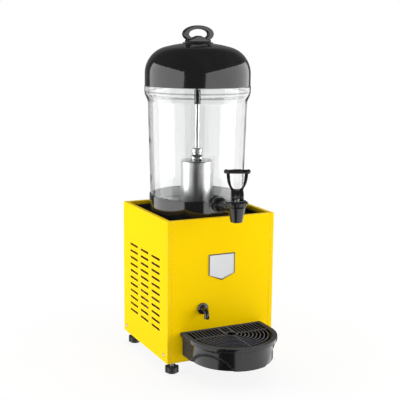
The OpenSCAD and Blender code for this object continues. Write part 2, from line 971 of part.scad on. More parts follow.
module cooling_drum() {
    round_r = 3;
    color(steel) on_axis() rotate_extrude() difference() {
        union() {
            translate([0, z_floor + drum_flange_t])
                square([drum_d / 2, z_drum - round_r - z_floor - drum_flange_t]);
            translate([0, z_drum - round_r]) square([drum_d / 2 - round_r, round_r]);
            translate([drum_d / 2 - round_r, z_drum - round_r]) circle(round_r);
        }
        translate([0, z_floor]) square([drum_d / 2 - drum_wall, z_drum - drum_roof - z_floor]);
        translate([-drum_d, z_floor]) square([drum_d + shaft_tube_d / 2 + slide_fit, drum_rise * 3]);
    }
}

module line_hole_places() {
    for (x = [-1, 1]) translate([x * drum_d * 0.3, 0, 0]) children();
}

module drum_base() {
    color(steel) on_axis() difference() {
        union() {
            translate([0, 0, z_floor]) cylinder(d = drum_flange_d, h = drum_flange_t);
            translate([0, 0, z_floor]) cylinder(d = shaft_tube_d, h = z_drum - z_floor);
        }
        translate([0, 0, z_floor - 1]) cylinder(d = shaft_d + 2 * run_fit, h = z_drum - z_floor + 2);
        line_hole_places() translate([0, 0, z_floor - 1]) cylinder(d = line_d + 0.2, h = 3 * drum_flange_t);
    }
}

module pump_motor() {
    neck_d = 24;
    color("#8d9296") on_axis() difference() {
        union() {
            translate([0, 0, z_motor_top - motor_h]) cylinder(d = motor_d, h = motor_h);
            translate([0, 0, z_motor_top - motor_flange_t]) cylinder(d = motor_flange_d, h = motor_flange_t);
            translate([0, 0, z_motor_top]) cylinder(d = neck_d, h = z_floor - z_motor_top);
            for (a = [15 : 30 : 345]) rotate([0, 0, a])
                translate([motor_d / 2, 0, z_motor_top - motor_h + 5]) cylinder(d = 2, h = motor_h - 14);
        }
        translate([0, 0, z_motor_top - motor_h + 8]) cylinder(d = shaft_d + 2 * run_fit, h = 2 * motor_h);
        line_hole_places() translate([0, 0, z_motor_top - 2 * motor_flange_t])
            cylinder(d = line_d + 2, h = 4 * motor_flange_t);
    }
}

module pump_shaft() {
    z0 = z_motor_top - motor_h + 9;
    color(steel) on_axis() translate([0, 0, z0])
        cylinder(d = shaft_d, h = z_drum + impeller_lift + impeller_h - z0);
}

module pump_impeller() {
    z = z_drum + impeller_lift;
    vane = 1.6;
    color(black) on_axis() difference() {
        union() {
            translate([0, 0, z]) cylinder(d = shaft_d + 4, h = impeller_h);
            translate([0, 0, z]) cylinder(d = impeller_d, h = 1.6);
            for (a = [0 : 60 : 300]) rotate([0, 0, a])
                span([shaft_d / 2 + 1, -vane / 2, z], [impeller_d / 2 - 0.6, vane / 2, z + impeller_h]);
        }
        translate([0, 0, z - 1]) cylinder(d = shaft_d + 2 * slide_fit, h = impeller_h + 2);
    }
}

// Bell with a concave flank, four inlet windows at its foot and a socket for the riser
module pump_bell() {
    flank_h = bell_h - bell_flange_h;
    sole_h = 3;
    inlet_w = 6;
    chamber_d = impeller_d + 2.4;
    step = (bell_base_d - bell_waist_d) / 2;
    color(steel) on_axis() difference() {
        translate([0, 0, z_drum]) union() {
            rotate_extrude() difference() {
                square([bell_base_d / 2, flank_h]);
                translate([bell_waist_d / 2 + step, sole_h + step]) circle(step);
                translate([bell_waist_d / 2, sole_h + step]) square([bell_base_d, bell_h]);
            }
            translate([0, 0, flank_h]) cylinder(d = bell_top_d, h = bell_flange_h);
        }
        translate([0, 0, z_drum - 1]) cylinder(d = chamber_d, h = bell_h - bell_roof + 1);
        translate([0, 0, z_bell - riser_grip]) cylinder(d = riser_d + 2 * slide_fit, h = bell_h);
        translate([0, 0, z_drum]) cylinder(d = riser_d - 2 * riser_wall, h = bell_h + 1);
        for (a = [0, 90]) rotate([0, 0, a])
            span([-bell_base_d, -inlet_w / 2, z_drum - 1], [bell_base_d, inlet_w / 2, z_drum + sole_h]);
    }
}

module riser_tube() {
    z0 = z_bell - riser_grip;
    color(steel) on_axis() difference() {
        translate([0, 0, z0]) cylinder(d = riser_d, h = z_cap + cap_grip - z0);
        translate([0, 0, z0 - 1]) cylinder(d = riser_d - 2 * riser_wall, h = z_top);
    }
}

module riser_cap() {
    color(black) on_axis() difference() {
        union() {
            translate([0, 0, z_cap]) cylinder(d = cap_d, h = cap_len - cap_d / 2);
            translate([0, 0, z_cap + cap_len - cap_d / 2]) sphere(d = cap_d);
        }
        translate([0, 0, z_cap - 1]) cylinder(d = riser_d + 2 * slide_fit, h = cap_grip + 1);
        translate([0, 0, z_cap]) cylinder(d = riser_d - 2 * riser_wall, h = cap_len - 8);
        for (a = [0, 90]) rotate([0, 0, a]) translate([0, 0, z_cap + cap_len - 14]) bar_x(3, 2 * cap_d);
    }
}

// Tank

// Points of a wall that swells smoothly from the neck's radius to the flange's
function swell(low_r, top_r) = [
    for (i = [0 : flare_steps])
        [low_r + (top_r - low_r) * (1 - cos(180 * i / flare_steps)) / 2, z_neck + flare_h * i / flare_steps]
];

module tank_section() {
    low = tank_low_d / 2;
    neck = tank_neck_d / 2;
    top = collar_d / 2;
    z_stop = z_skirt - loose_fit;
    difference() {
        polygon(concat(
            [[0, z_rim], [0, tank_foot_z], [low, tank_foot_z]], swell(neck, top + flange_out),
            [[top + flange_out, z_stop], [top, z_stop], [top, z_rim]]
        ));
        polygon(concat(
            [[0, z_rim + 1], [0, tank_foot_z - 1], [low - tank_wall, tank_foot_z - 1]],
            [[low - tank_wall, tank_foot_z]], swell(neck - tank_wall, top - tank_wall),
            [[top - tank_wall, z_rim + 1]]
        ));
    }
}

// Everything that lies inside the clear wall's outer face
module tank_core(grow) {
    low = tank_low_d / 2 + grow;
    neck = tank_neck_d / 2 + grow;
    rotate_extrude() polygon([[0, tank_foot_z], [low, tank_foot_z], [neck, z_neck], [0, z_neck]]);
}

module shank_hole() {
    translate([0, 0, z_shank]) bar_y(shank_d + hole_fit, -tank_neck_d, 0);
}

module tank() {
    color("#e8eef0", 0.35) on_axis() difference() {
        rotate_extrude() tank_section();
        shank_hole();
    }
}

// Black moulding: a ring round the tank's foot, its floor, and the boss that carries the tap
module tank_base() {
    color(black) on_axis() difference() {
        union() {
            translate([0, 0, z_floor]) cylinder(d = ring_d, h = z_ring - z_floor);
            translate([0, boss_y - axis_y, z_shank]) bar_y(boss_d, 0, boss_d);
        }
        tank_core(slide_fit);
        gasket_room(gasket_t);
        translate([0, 0, z_floor - 1])
            cylinder(d = ring_d - 2 * ring_wall - 4, h = tank_floor_z - z_floor + 1);
        translate([0, 0, z_floor]) cylinder(d = seal_d, h = drum_rise);
        shank_hole();
    }
}

// Sleeve round the tank's foot, below the ring's lip
module gasket_room(grow) {
    intersection() {
        tank_core(grow);
        translate([0, 0, z_floor]) cylinder(d = 2 * ring_d, h = z_ring - gasket_lip - z_floor);
    }
}

module tank_gasket() {
    color("#8f9294") on_axis() difference() {
        gasket_room(gasket_t - slide_fit);
        tank_core(slide_fit);
        shank_hole();
    }
}

module tank_seal() {
    groove = 3;
    color(rubber) on_axis() difference() {
        union() {
            translate([0, 0, tank_floor_z]) cylinder(d = seal_d - 2 * slide_fit, h = tank_floor_t);
            translate([0, 0, tank_foot_z]) cylinder(d = seal_d + 6, h = groove);
        }
        translate([0, 0, tank_floor_z - 1]) cylinder(d = drum_d + 2 * seal_lip, h = 2 * groove + 6);
    }
}

// Lid

// Half section of the domed lid, drawn inwards by an offset
module dome_half(inset) {
    far = 2 * lid_d;
    translate([0, z_skirt]) square([lid_r - inset, shoulder_low]);
    translate([shoulder_x, z_shoulder]) circle(shoulder_r - inset);
    intersection() {
        translate([0, z_crown_centre]) circle(crown_r - inset);
        polygon([
            [0, z_shoulder - eps], [shoulder_x, z_shoulder - eps],
            [shoulder_x + far * sin(crown_lean), z_shoulder + far * cos(crown_lean)], [0, z_shoulder + far]
        ]);
    }
}

module lid() {
    ledge = 3;
    color(black) on_axis() difference() {
        rotate_extrude() intersection() {
            difference() {
                union() {
                    dome_half(0);
                    translate([0, z_crown - lid_pad_t]) square([lid_pad_r, z_pad - z_crown + lid_pad_t]);
                }
                translate([0, z_skirt - 1]) square([collar_d / 2 + loose_fit, lid_skirt + 1]);
                difference() {
                    dome_half(lid_wall);
                    translate([collar_d / 2 - tank_wall - 1, z_rim]) square([tank_wall + 4, ledge]);
                }
            }
            translate([0, z_skirt]) square([lid_d, 2 * lid_h]);
        }
        translate([0, 0, z_crown - lid_h / 2]) cylinder(d = grip_screw_d + hole_fit, h = lid_h);
    }
}

// Oval loop that stands on a gabled foot
module loop_outline(w, h) {
    polygon([for (i = [0 : 47]) [w / 2 * cos(i * 7.5), h / 2 * sin(i * 7.5)]]);
}

module lid_handle() {
    band_top = 8;
    gable_h = loop_h * 0.39;
    gable_w = loop_w * 0.8;
    sole_h = 4;
    ring_h = loop_h + 1;
    color(black) on_axis() translate([0, 0, z_pad]) difference() {
        intersection() {
            union() {
                translate([0, loop_depth / 2, ring_h / 2 - 1]) rotate([90, 0, 0]) linear_extrude(loop_depth)
                    difference() {
                        loop_outline(loop_w, ring_h);
                        loop_outline(loop_w - 2 * loop_band, ring_h - 2 * band_top);
                    }
                translate([0, loop_depth / 2 + 2, 0]) rotate([90, 0, 0]) linear_extrude(loop_depth + 4)
                    polygon([[-gable_w / 2, 0], [gable_w / 2, 0], [gable_w / 2, sole_h], [3, gable_h],
                        [-3, gable_h], [-gable_w / 2, sole_h]]);
            }
            translate([-loop_w, -loop_w, 0]) cube([2 * loop_w, 2 * loop_w, loop_h]);
        }
        translate([0, 0, -1]) cylinder(d = grip_screw_d + 2 * slide_fit, h = gable_h - 2);
    }
}

module handle_screw() {
    z_in = z_crown - lid_wall;
    head_d = 12;
    color(steel) on_axis() {
        translate([0, 0, z_in - 5]) cylinder(d = head_d, h = 3.6);
        translate([0, 0, z_in - 1.4]) cylinder(d = head_d + 4, h = 1.2);
        translate([0, 0, z_in - 2]) cylinder(d = grip_screw_d, h = lid_wall + grip_screw_in);
    }
}

// Tap, in the cabinet's own places

module in_tap() {
    in_cabinet() translate([0, tap_y, 0]) children();
}

// The handle's own frame, swung round the spout's axis
module in_handle() {
    in_tap() rotate([0, 0, handle_turn]) children();
}

// Spout cup with a tapered cavity, on a shank that is cut back where the bonnet sits
module tap_body() {
    y_flange = boss_y - washer_t;
    cup_low = mouth_d + (spout_d - mouth_d) * cavity_floor / spout_h - 2 * spout_wall;
    socket_h = plug_h + 2;
    color(black) in_cabinet() difference() {
        union() {
            translate([0, 0, z_shank]) {
                bar_y(shank_d, tap_y, shank_in);
                bar_y(tap_flange_d, y_flange - flange_t, y_flange);
                translate([0, y_flange - flange_t - lug_back, 0]) rotate([0, -lug_angle, 0])
                    cylinder(d = lug_d, h = shank_d / 2 + lug_out);
            }
            translate([0, tap_y, z_mouth]) cylinder(d1 = mouth_d, d2 = spout_d, h = spout_h);
        }
        translate([0, tap_y, z_cup])
            cylinder(d1 = cup_low, d2 = cavity_d, h = spout_h - cavity_floor - socket_h);
        translate([0, tap_y, z_spout_top - socket_h]) cylinder(d = cavity_d, h = socket_h);
        translate([0, tap_y, z_spout_top]) cylinder(d = bonnet_d + 2 * loose_fit, h = shank_d);
        translate([0, tap_y, z_mouth - 1]) cylinder(d = outlet_d, h = cavity_floor + 2);
        translate([0, 0, z_shank]) bar_y(shank_bore, tap_y, shank_in + 1);
    }
}

// Flat washer under the flange and a saddle washer that fills the tank's inner curve
module tap_washers() {
    color(rubber) in_cabinet() {
        translate([0, 0, z_shank]) difference() {
            bar_y(tap_flange_d, boss_y - washer_t, boss_y);
            bar_y(shank_d + 2 * slide_fit, boss_y - 5, boss_y + 5);
        }
        difference() {
            intersection() {
                translate([0, 0, z_shank]) bar_y(inner_washer_d, 0, saddle_y());
                translate([0, axis_y, 0]) tank_core(-tank_wall - slide_fit);
            }
            translate([0, 0, z_shank]) bar_y(shank_d + 2 * slide_fit, 0, axis_y);
        }
    }
}

function saddle_y() = axis_y - tank_low_d / 2 + tank_wall + inner_washer_t;

module tap_nut() {
    color(black) in_cabinet() translate([0, saddle_y(), z_shank]) rotate([-90, 0, 0]) difference() {
        hex(tap_nut_d, tap_nut_h);
        translate([0, 0, -1]) cylinder(d = shank_d + 2 * slide_fit, h = tap_nut_h + 2);
    }
}

module tap_bonnet() {
    foot_edge = 4;
    top_edge = 2.5;
    side = bonnet_h - foot_edge - top_edge;
    color(black) in_tap() difference() {
        union() {
            translate([0, 0, z_spout_top]) cylinder(d1 = spout_d + 1, d2 = bonnet_d, h = foot_edge);
            translate([0, 0, z_spout_top + foot_edge]) cylinder(d = bonnet_d, h = side);
            translate([0, 0, z_bonnet - top_edge])
                cylinder(d1 = bonnet_d, d2 = bonnet_d - 2 * top_edge, h = top_edge);
            translate([0, 0, z_spout_top - plug_h]) cylinder(d = cavity_d - 2 * slide_fit, h = plug_h + 1);
        }
        translate([0, 0, z_spout_top - plug_h - 1])
            cylinder(d = stem_d + 2 * run_fit, h = bonnet_h + 3 * plug_h);
        for (a = [22.5 : 45 : 359]) rotate([0, 0, a])
            translate([bonnet_d / 2 + flute_d / 2 - flute_in, 0, z_spout_top + foot_edge])
                cylinder(d = flute_d, h = side);
    }
}

module tap_stem() {
    eye_d = pin_d + 5;
    z0 = z_cup + 2;
    color(steel) in_handle() difference() {
        union() {
            translate([0, 0, z0]) cylinder(d = stem_d, h = z_pin - z0);
            translate([0, 0, z_pin]) bar_x(eye_d, hub_slot - 2 * seat_gap);
        }
        translate([0, 0, z_pin]) bar_x(pin_d + 2 * run_fit, hub_w);
    }
}

module tap_seat_cup() {
    color(rubber) in_tap() difference() {
        union() {
            translate([0, 0, z_cup]) cylinder(d = cup_d, h = 3);
            translate([0, 0, z_cup + 3]) cylinder(d1 = cup_d, d2 = stem_d + 4, h = cup_h - 3);
        }
        translate([0, 0, z_cup + 2]) cylinder(d = stem_d + 2 * slide_fit, h = cup_h);
    }
}

// Goblet-shaped loop of the handle from the front, with a window that is round at its foot
module handle_face() {
    wide = window_w / 2 + arm_t;
    z0 = z_hub - arm_t;
    z_foot = z_hub + window_round;
    difference() {
        intersection() {
            translate([-wide, z0]) square([2 * wide, z_bar - z0]);
            translate([wide - bow_r, z_under]) circle(bow_r);
            translate([bow_r - wide, z_under]) circle(bow_r);
        }
        intersection() {
            union() {
                translate([-window_w / 2, z_foot]) square([window_w, z_under - z_foot]);
                translate([0, z_foot]) circle(window_round);
            }
            translate([window_w / 2 - window_bow, z_under]) circle(window_bow);
            translate([window_bow - window_w / 2, z_under]) circle(window_bow);
        }
    }
}

module tap_handle() {
    color(black) in_handle() difference() {
        union() {
            translate([0, handle_depth / 2, 0]) rotate([90, 0, 0]) linear_extrude(handle_depth) handle_face();
            span([-hub_w / 2, -hub_depth / 2, z_pin], [hub_w / 2, hub_depth / 2, z_hub]);
            translate([0, -cam_forward, z_pin + cam_up]) bar_x(2 * cam_r, hub_w);
            translate([0, 0, z_bar]) bar_x(bar_d, bar_w - bar_knob_d);
            for (s = [-1, 1]) translate([s * (bar_w - bar_knob_d) / 2, 0, z_bar]) sphere(d = bar_knob_d);
            translate([0, 0, z_bar + 0.8]) bar_x(bar_d, bar_w * 0.3);
        }
        span([-hub_slot / 2, -3 * cam_r, z_bonnet - 1], [hub_slot / 2, 3 * cam_r, z_pin + 7]);
        translate([0, 0, z_pin]) bar_x(pin_d + 2 * slide_fit, 2 * hub_w);
    }
}

module tap_pin() {
    color(steel) in_handle() translate([0, 0, z_pin]) bar_x(pin_d, hub_w);
}

// Cooling unit inside the cabinet

module mount_places() {
    for (x = [-mount_x, mount_x], y = [-mount_y, mount_y]) translate([x, shell_y + y, 0]) children();
}

module compressor() {
    r = shell_d / 2;
    dome = 30;
    seam_z = z_shell + shell_h * 0.5;
    color(black) in_cabinet() difference() {
        union() {
            translate([0, shell_y, 0]) rotate_extrude() {
                translate([0, z_shell + 8]) square([r, shell_h - 8 - dome]);
                translate([0, z_shell]) square([r - 8, shell_h - dome]);
                translate([r - 8, z_shell + 8]) intersection() {
                    circle(8);
                    translate([-r, -8]) square([r + 8, 16]);
                }
                intersection() {
                    union() {
                        translate([r - dome, z_shell + shell_h - dome]) circle(dome);
                        translate([0, z_shell + shell_h - dome]) square([r - dome, dome]);
                    }
                    translate([0, z_shell]) square([r, shell_h]);
                }
                translate([0, seam_z]) square([r + 2, 4]);
            }
            for (s = [-1, 1]) span(
                [-mount_x - 12, shell_y + s * mount_y - 12, z_shell - mount_plate_t],
                [mount_x + 12, shell_y + s * mount_y + 12, z_shell]
            );
            span([-16, shell_y - mount_y, z_shell - mount_plate_t], [16, shell_y + mount_y, z_shell]);
        }
        mount_places() translate([0, 0, z_shell - 2 * mount_plate_t]) cylinder(d = grommet_bore, h = 40);
        mount_places() translate([0, 0, z_shell]) cylinder(d = 16, h = 12);
    }
}

module compressor_relay() {
    r = shell_d / 2;
    color("#3a3b3d") in_cabinet() difference() {
        span(
            [r * 0.6, shell_y - relay_w / 2, z_shell + relay_low],
            [r + relay_out, shell_y + relay_w / 2, z_shell + relay_low + relay_h]
        );
        translate([0, shell_y, z_shell]) cylinder(r = r, h = shell_h);
    }
}

module compressor_mounts() {
    color(rubber) in_cabinet() mount_places() {
        for (z = [z_pan, z_pan + grommet_h - grommet_lip]) translate([0, 0, z])
            cylinder(d = grommet_d, h = grommet_lip);
        translate([0, 0, z_pan]) cylinder(d = grommet_d - grommet_lip, h = grommet_h);
        translate([0, 0, z_shell]) hex(mount_bolt_d * nut_over, mount_nut_h);
        translate([0, 0, z_pan]) cylinder(d = mount_bolt_d, h = z_shell + mount_nut_h - z_pan);
    }
}

// Finned coil: thin upright fins on rows of cross tubes between two end plates
module condenser() {
    step = (cond_w - cond_end_t) / (fin_count + 1);
    color("#aab0b4") in_cabinet() {
        for (i = [0 : fin_count + 1]) {
            plate = (i == 0 || i == fin_count + 1) ? cond_end_t : fin_t;
            x = -cond_w / 2 + i * step;
            span([x, cond_front, cond_z], [x + plate, cond_back, cond_z + cond_h]);
        }
        for (row = [0 : tube_rows - 1], y = [0.28, 0.72])
            translate([0, cond_front + cond_d * y, cond_z + (row + 0.5) * cond_h / tube_rows])
                bar_x(tube_d, cond_w - eps);
        both_sides() span(
            [-cond_w / 2, cond_front, z_pan], [cond_foot - cond_w / 2, cond_back, cond_z + foot_lap]
        );
    }
}

module fan_shroud() {
    arm = 8;
    ring_t = 3;
    motor_y = fan_y - blade_w - 1;
    color("#8d9296") in_cabinet() {
        difference() {
            union() {
                span([-cond_w / 2, shroud_y - shroud_t, cond_z], [cond_w / 2, shroud_y, cond_z + cond_h]);
                translate([0, 0, fan_z]) bar_y(fan_d + 2 * fan_gap + 2 * ring_t, shroud_y - 12, shroud_y);
            }
            translate([0, 0, fan_z]) bar_y(fan_d + 2 * fan_gap, shroud_y - 40, shroud_y + 5);
        }
        for (s = [-1, 1]) {
            x = s * (fan_d / 2 + fan_gap + ring_t + arm / 2);
            span([x - arm / 2, motor_y - 4, fan_z - arm], [x + arm / 2, shroud_y - shroud_t, fan_z + arm]);
        }
        difference() {
            span(
                [-fan_d / 2 - fan_gap - ring_t - arm, motor_y - 4, fan_z - arm],
                [fan_d / 2 + fan_gap + ring_t + arm, motor_y - 1, fan_z + arm]
            );
            translate([0, 0, fan_z]) bar_y(fan_motor_d * 0.6, motor_y - 9, motor_y + 5);
        }
        both_sides() {
            span([-cond_w / 2, shroud_y - shroud_toe, z_pan], [shroud_foot - cond_w / 2, shroud_y, z_pan + shroud_t]);
            span([-cond_w / 2, shroud_y - shroud_t, z_pan], [shroud_foot - cond_w / 2, shroud_y, cond_z + foot_lap]);
        }
    }
}

module fan_motor() {
    face = fan_y - blade_w - 5;
    color("#6d7276") in_cabinet() translate([0, 0, fan_z]) difference() {
        union() {
            bar_y(fan_motor_d, face - fan_motor_h, face);
            bar_y(fan_motor_d * 0.6 - 2 * slide_fit, face - 1, face + 4);
        }
        bar_y(fan_shaft_d + 2 * run_fit, face - 12, face + 5);
    }
}

// Five pitched blades on a hub with its own shaft
module fan_blade() {
    color("#55595c") in_cabinet() translate([0, 0, fan_z]) {
        bar_y(fan_hub_d, fan_y - blade_w, fan_y);
        bar_y(fan_shaft_d, fan_y - blade_w - fan_tail, fan_y - 1);
        intersection() {
            difference() {
                bar_y(fan_d, fan_y - blade_w, fan_y);
                bar_y(fan_hub_d - 4, fan_y - 2 * blade_w, fan_y + blade_w);
            }
            for (i = [1 : blade_count]) rotate([0, i * 360 / blade_count, 0])
                translate([fan_d / 4 + blade_root, fan_y - blade_w / 2, 0]) rotate([blade_pitch, 0, 0])
                    cube([fan_d / 2, blade_t, fan_d * 0.36], center = true);
        }
    }
}

function drier_at() = [cond_w / 2 - 16, cond_front - 40, z_pan + 60];

module filter_drier() {
    at = drier_at();
    color(copper) in_cabinet() translate(at) {
        cylinder(d = drier_d, h = drier_len);
        translate([0, 0, -10]) cylinder(d1 = line_d, d2 = drier_d, h = 10);
        translate([0, 0, drier_len]) cylinder(d1 = drier_d, d2 = line_d - 2, h = 10);
    }
}

// Suction line from the drum down to the compressor
module suction_line() {
    x = -drum_d * 0.3;
    side = -shell_d / 2 - suction_side;
    z_out = z_motor_top - motor_h - line_under;
    color(copper) in_cabinet() pipe([
        [x, axis_y, z_floor + line_up], [x, axis_y, z_out], [side, axis_y, z_out],
        [side, shell_y, z_out - suction_step], [side, shell_y, z_shell + suction_port],
        [port_sink - shell_d / 2, shell_y, z_shell + suction_port]
    ], line_d);
}

// Discharge line from the compressor to the condenser's top
module discharge_line() {
    z_tube = cond_z + (tube_rows - 0.5) * cond_h / tube_rows;
    x = -cond_w / 2 - line_side;
    y = cond_front + cond_d * 0.28;
    shell_back = shell_y + shell_d / 2;
    z_port = z_shell + shell_port;
    color(copper) in_cabinet() pipe([
        [-shell_port_x, shell_back - port_sink, z_port], [-shell_port_x, shell_back + line_stand, z_port],
        [x, shell_back + line_stand, z_port], [x, y, z_tube - pipe_rise], [x, y, z_tube],
        [1 - cond_w / 2, y, z_tube]
    ], line_d - 1);
}

// Liquid line from the condenser's foot through the drier, and the capillary up to the drum
module liquid_line() {
    at = drier_at();
    z_tube = cond_z + 0.5 * cond_h / tube_rows;
    y = cond_front + cond_d * 0.28;
    x = cond_w / 2 + 9;
    z_out = z_motor_top - motor_h - line_under;
    color(copper) in_cabinet() {
        pipe([[cond_w / 2 - 1, y, z_tube], [x, y, z_tube], [x, at.y, z_tube + 8], [at.x, at.y, z_tube + 8],
            at - [0, 0, 9]], line_d - 1);
        pipe([at + [0, 0, drier_len + 9], [at.x, at.y, z_out], [drum_d * 0.3, axis_y, z_out],
            [drum_d * 0.3, axis_y, z_floor + line_up]], line_d - 2);
    }
}

// Controls on the back

module switch_places() {
    for (s = [-1, 1]) translate([switch_x + s * switch_pitch / 2, body_d, z_control]) children();
}

module switch_housings() {
    color(black) in_cabinet() switch_places() difference() {
        union() {
            span([-switch_w / 2, 0, -switch_h / 2], [switch_w / 2, housing_out, switch_h / 2]);
            span(
                [-switch_w / 2 + 1.8, -housing_in, -switch_h / 2 + 1.8],
                [switch_w / 2 - 1.8, 0, switch_h / 2 - 1.8]
            );
        }
        span(
            [-switch_w / 2 + housing_rim + 1, -housing_in + 3, -switch_h / 2 + housing_rim + 1],
            [switch_w / 2 - housing_rim - 1, housing_out + 1, switch_h / 2 - housing_rim - 1]
        );
    }
}

// Rocker: a drum slice about its pivot, with a shallow two-faced cap, one end pressed in
module rocker(x) {
    w = switch_w - 2 * housing_rim - 2 - 2 * rocker_fit;
    r = switch_h / 2 - housing_rim - 1 - rocker_fit;
    pivot_y = -6;
    color(black) in_cabinet() translate([x, body_d + pivot_y, z_control]) rotate([-rocker_tilt, 0, 0])
        intersection() {
            bar_x(2 * r, w);
            union() for (s = [-1, 1]) rotate([s * rocker_tilt, 0, 0])
                span([-w, -4, s > 0 ? -eps : -2 * r], [w, rocker_proud - pivot_y, s > 0 ? 2 * r : eps]);
        }
}

module cooling_switch() {
    rocker(switch_x - switch_pitch / 2);
}

module pump_switch() {
    rocker(switch_x + switch_pitch / 2);
}

module thermostat() {
    y = body_d - sheet_t;
    color("#d8d8d4") in_cabinet() translate([dial_x, 0, z_control]) difference() {
        union() {
            span([-thermostat_w / 2, y - thermostat_d, -14], [thermostat_w / 2, y, 14]);
            bar_y(dial_shaft_d + 3.6, y - 1, body_d + dial_gap - 0.3);
        }
        bar_y(dial_shaft_d + 2 * run_fit, y - 12, body_d + 20);
    }
}

module thermostat_knob() {
    y0 = body_d + dial_gap;
    grip = 24;
    color(black) in_cabinet() translate([dial_x, 0, z_control]) difference() {
        union() {
            bar_y(dial_d, y0, y0 + 4);
            bar_y(dial_d - 8, y0, y0 + dial_h);
            bar_y(dial_shaft_d, body_d - sheet_t - 11, y0 + 1);
        }
        for (i = [1 : grip]) rotate([0, i * 360 / grip, 0]) translate([dial_d / 2 - 3.6, 0, 0])
            bar_y(2, y0 + 4, y0 + dial_h + 1);
        span([-0.8, y0 + dial_h - 1, 2], [0.8, y0 + dial_h + 1, dial_d]);
    }
}

// Gland for the mains lead, without the lead
module cord_gland() {
    bush = gland_bore + 2 * gland_wall;
    color(black) in_cabinet() translate([gland_x, body_d, gland_z]) difference() {
        union() {
            bar_y(bush, -gland_in, gland_out);
            rotate([-90, 0, 0]) hex(bush * 1.5, 4);
            translate([0, -sheet_t - 4, 0]) rotate([-90, 0, 0]) hex(bush * 1.5, 4);
        }
        bar_y(gland_bore, -gland_in - 1, gland_out + 1);
    }
}

base_pan();
left_side_panel();
right_side_panel();
front_panel();
back_panel();
basin();
basin_rails();
panel_screws();
badge_plate();
drain_spout();
drain_nut();
drain_hose();
tray_bracket();
drip_tray();
drip_grille();
foot_front_left();
foot_front_right();
foot_back_left();
foot_back_right();
foot_nuts();
cooling_drum();
drum_base();
pump_motor();
pump_shaft();
pump_impeller();
pump_bell();
riser_tube();
riser_cap();
tank();
tank_base();
tank_seal();
tank_gasket();
lid();
lid_handle();
handle_screw();
tap_body();
tap_washers();
tap_nut();
tap_bonnet();
tap_stem();
tap_seat_cup();
tap_handle();
tap_pin();
compressor();
compressor_relay();
compressor_mounts();
condenser();
fan_shroud();
fan_motor();
fan_blade();
filter_drier();
suction_line();
discharge_line();
liquid_line();
switch_housings();
cooling_switch();
pump_switch();
thermostat();
thermostat_knob();
cord_gland();
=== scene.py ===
import json
import math

import bmesh
import bpy
from bpy.props import FloatProperty, FloatVectorProperty, IntProperty, PointerProperty
from bpy.types import Operator, Panel, PropertyGroup
from mathutils import Matrix, Vector

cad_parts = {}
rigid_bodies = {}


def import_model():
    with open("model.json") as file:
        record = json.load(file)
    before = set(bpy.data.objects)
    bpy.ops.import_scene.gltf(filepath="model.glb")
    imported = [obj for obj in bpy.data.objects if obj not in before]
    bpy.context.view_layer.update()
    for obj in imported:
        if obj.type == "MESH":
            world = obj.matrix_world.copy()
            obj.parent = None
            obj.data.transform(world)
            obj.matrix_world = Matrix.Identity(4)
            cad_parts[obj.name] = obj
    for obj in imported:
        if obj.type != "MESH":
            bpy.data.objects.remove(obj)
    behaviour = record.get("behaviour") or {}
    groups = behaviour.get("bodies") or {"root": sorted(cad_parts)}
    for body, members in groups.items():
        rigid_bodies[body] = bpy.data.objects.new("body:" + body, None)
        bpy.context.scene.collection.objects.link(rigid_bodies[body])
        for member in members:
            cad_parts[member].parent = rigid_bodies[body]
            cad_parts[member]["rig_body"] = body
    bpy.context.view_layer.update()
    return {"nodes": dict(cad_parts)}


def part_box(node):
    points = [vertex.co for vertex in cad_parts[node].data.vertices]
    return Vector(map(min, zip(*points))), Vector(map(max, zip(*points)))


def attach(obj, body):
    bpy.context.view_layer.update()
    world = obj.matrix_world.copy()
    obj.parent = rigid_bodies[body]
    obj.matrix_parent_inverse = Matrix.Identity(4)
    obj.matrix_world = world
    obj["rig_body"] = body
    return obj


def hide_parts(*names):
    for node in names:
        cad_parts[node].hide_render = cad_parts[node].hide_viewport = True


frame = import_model()
NODES = frame["nodes"]

bl_info = {
    "name": "Drink dispenser dressing",
    "version": (1, 0, 0),
    "blender": (4, 5, 0),
    "location": "3D View > Sidebar > Dispenser",
    "description": "Finishes, softened edges, fasteners and studio for a drink dispenser",
    "category": "Object",
}


# Measures that the boxes of the parts don't give, in metres and radians

# Tap handle: its turn, the ends of hub and bar below its top, the goblet between them
HANDLE_TURN = math.radians(-24.0)
HUB_DROP, BAR_DROP = 0.0428, 0.0098
GOBLET_LAP, GOBLET_SUNK, GOBLET_DEPTH = 0.0005, 0.0015, 0.008
# Tray: its arches, the matt band along their radius, its rim from the top, its flanks; rim and
# flanks are painted a lighter bluish grey as a painted reflection
ARCH_RADIUS, ARCH_RISE, ARCH_ANGLE = 0.062, 0.032, math.radians(58.0)
ARCH_BAND_START, ARCH_BAND_END, ARCH_BAND_FADE = (-0.0070, -0.0060), (0.0006, 0.0014), 0.004
TRAY_RIM, TRAY_FLANK = (-0.0016, -0.0004), 0.008
# Grille: where painted shade turns its slots black, and where its rib edges lie, from the top
SLOT_SHADE_DEPTH, RIB_DEPTH = (-0.0030, -0.0024), 0.001
# Badge's rim behind its face, painted dark as a painted reflection; tank's bead below the lid,
# painted darker as a painted reflection; foot's stud above the floor
BADGE_PAINTED_RIM = (0.0002, 0.0006)
BEAD_DROP, BEAD_EDGE = 0.0125, (0.0006, 0.0022)
STUD_START = (0.0152, 0.0158)
# Screws: recess as shares of the head, taper of the head, turns and depth of the thread
RECESS_LENGTH, RECESS_WIDTH, RECESS_DEPTH = 0.48, 0.13, 0.6
HEAD_TAPER, THREAD_TURNS, THREAD_DEPTH = 0.42, 12.0, 0.10
# Dial: gap from knob to marks, size of a mark, and how much longer every fifth is
DIAL_GAP, MARK_LENGTH, MARK_WIDTH, MARK_HEIGHT = 0.006, 0.004, 0.0012, 0.0003
MARK_GROUP, LONG_MARK = 5.0, 0.6
# Edges that are rounded, and those that stay sharp in the shading
SHARP_EDGE, SMOOTH_BELOW = math.radians(36.0), math.radians(42.0)
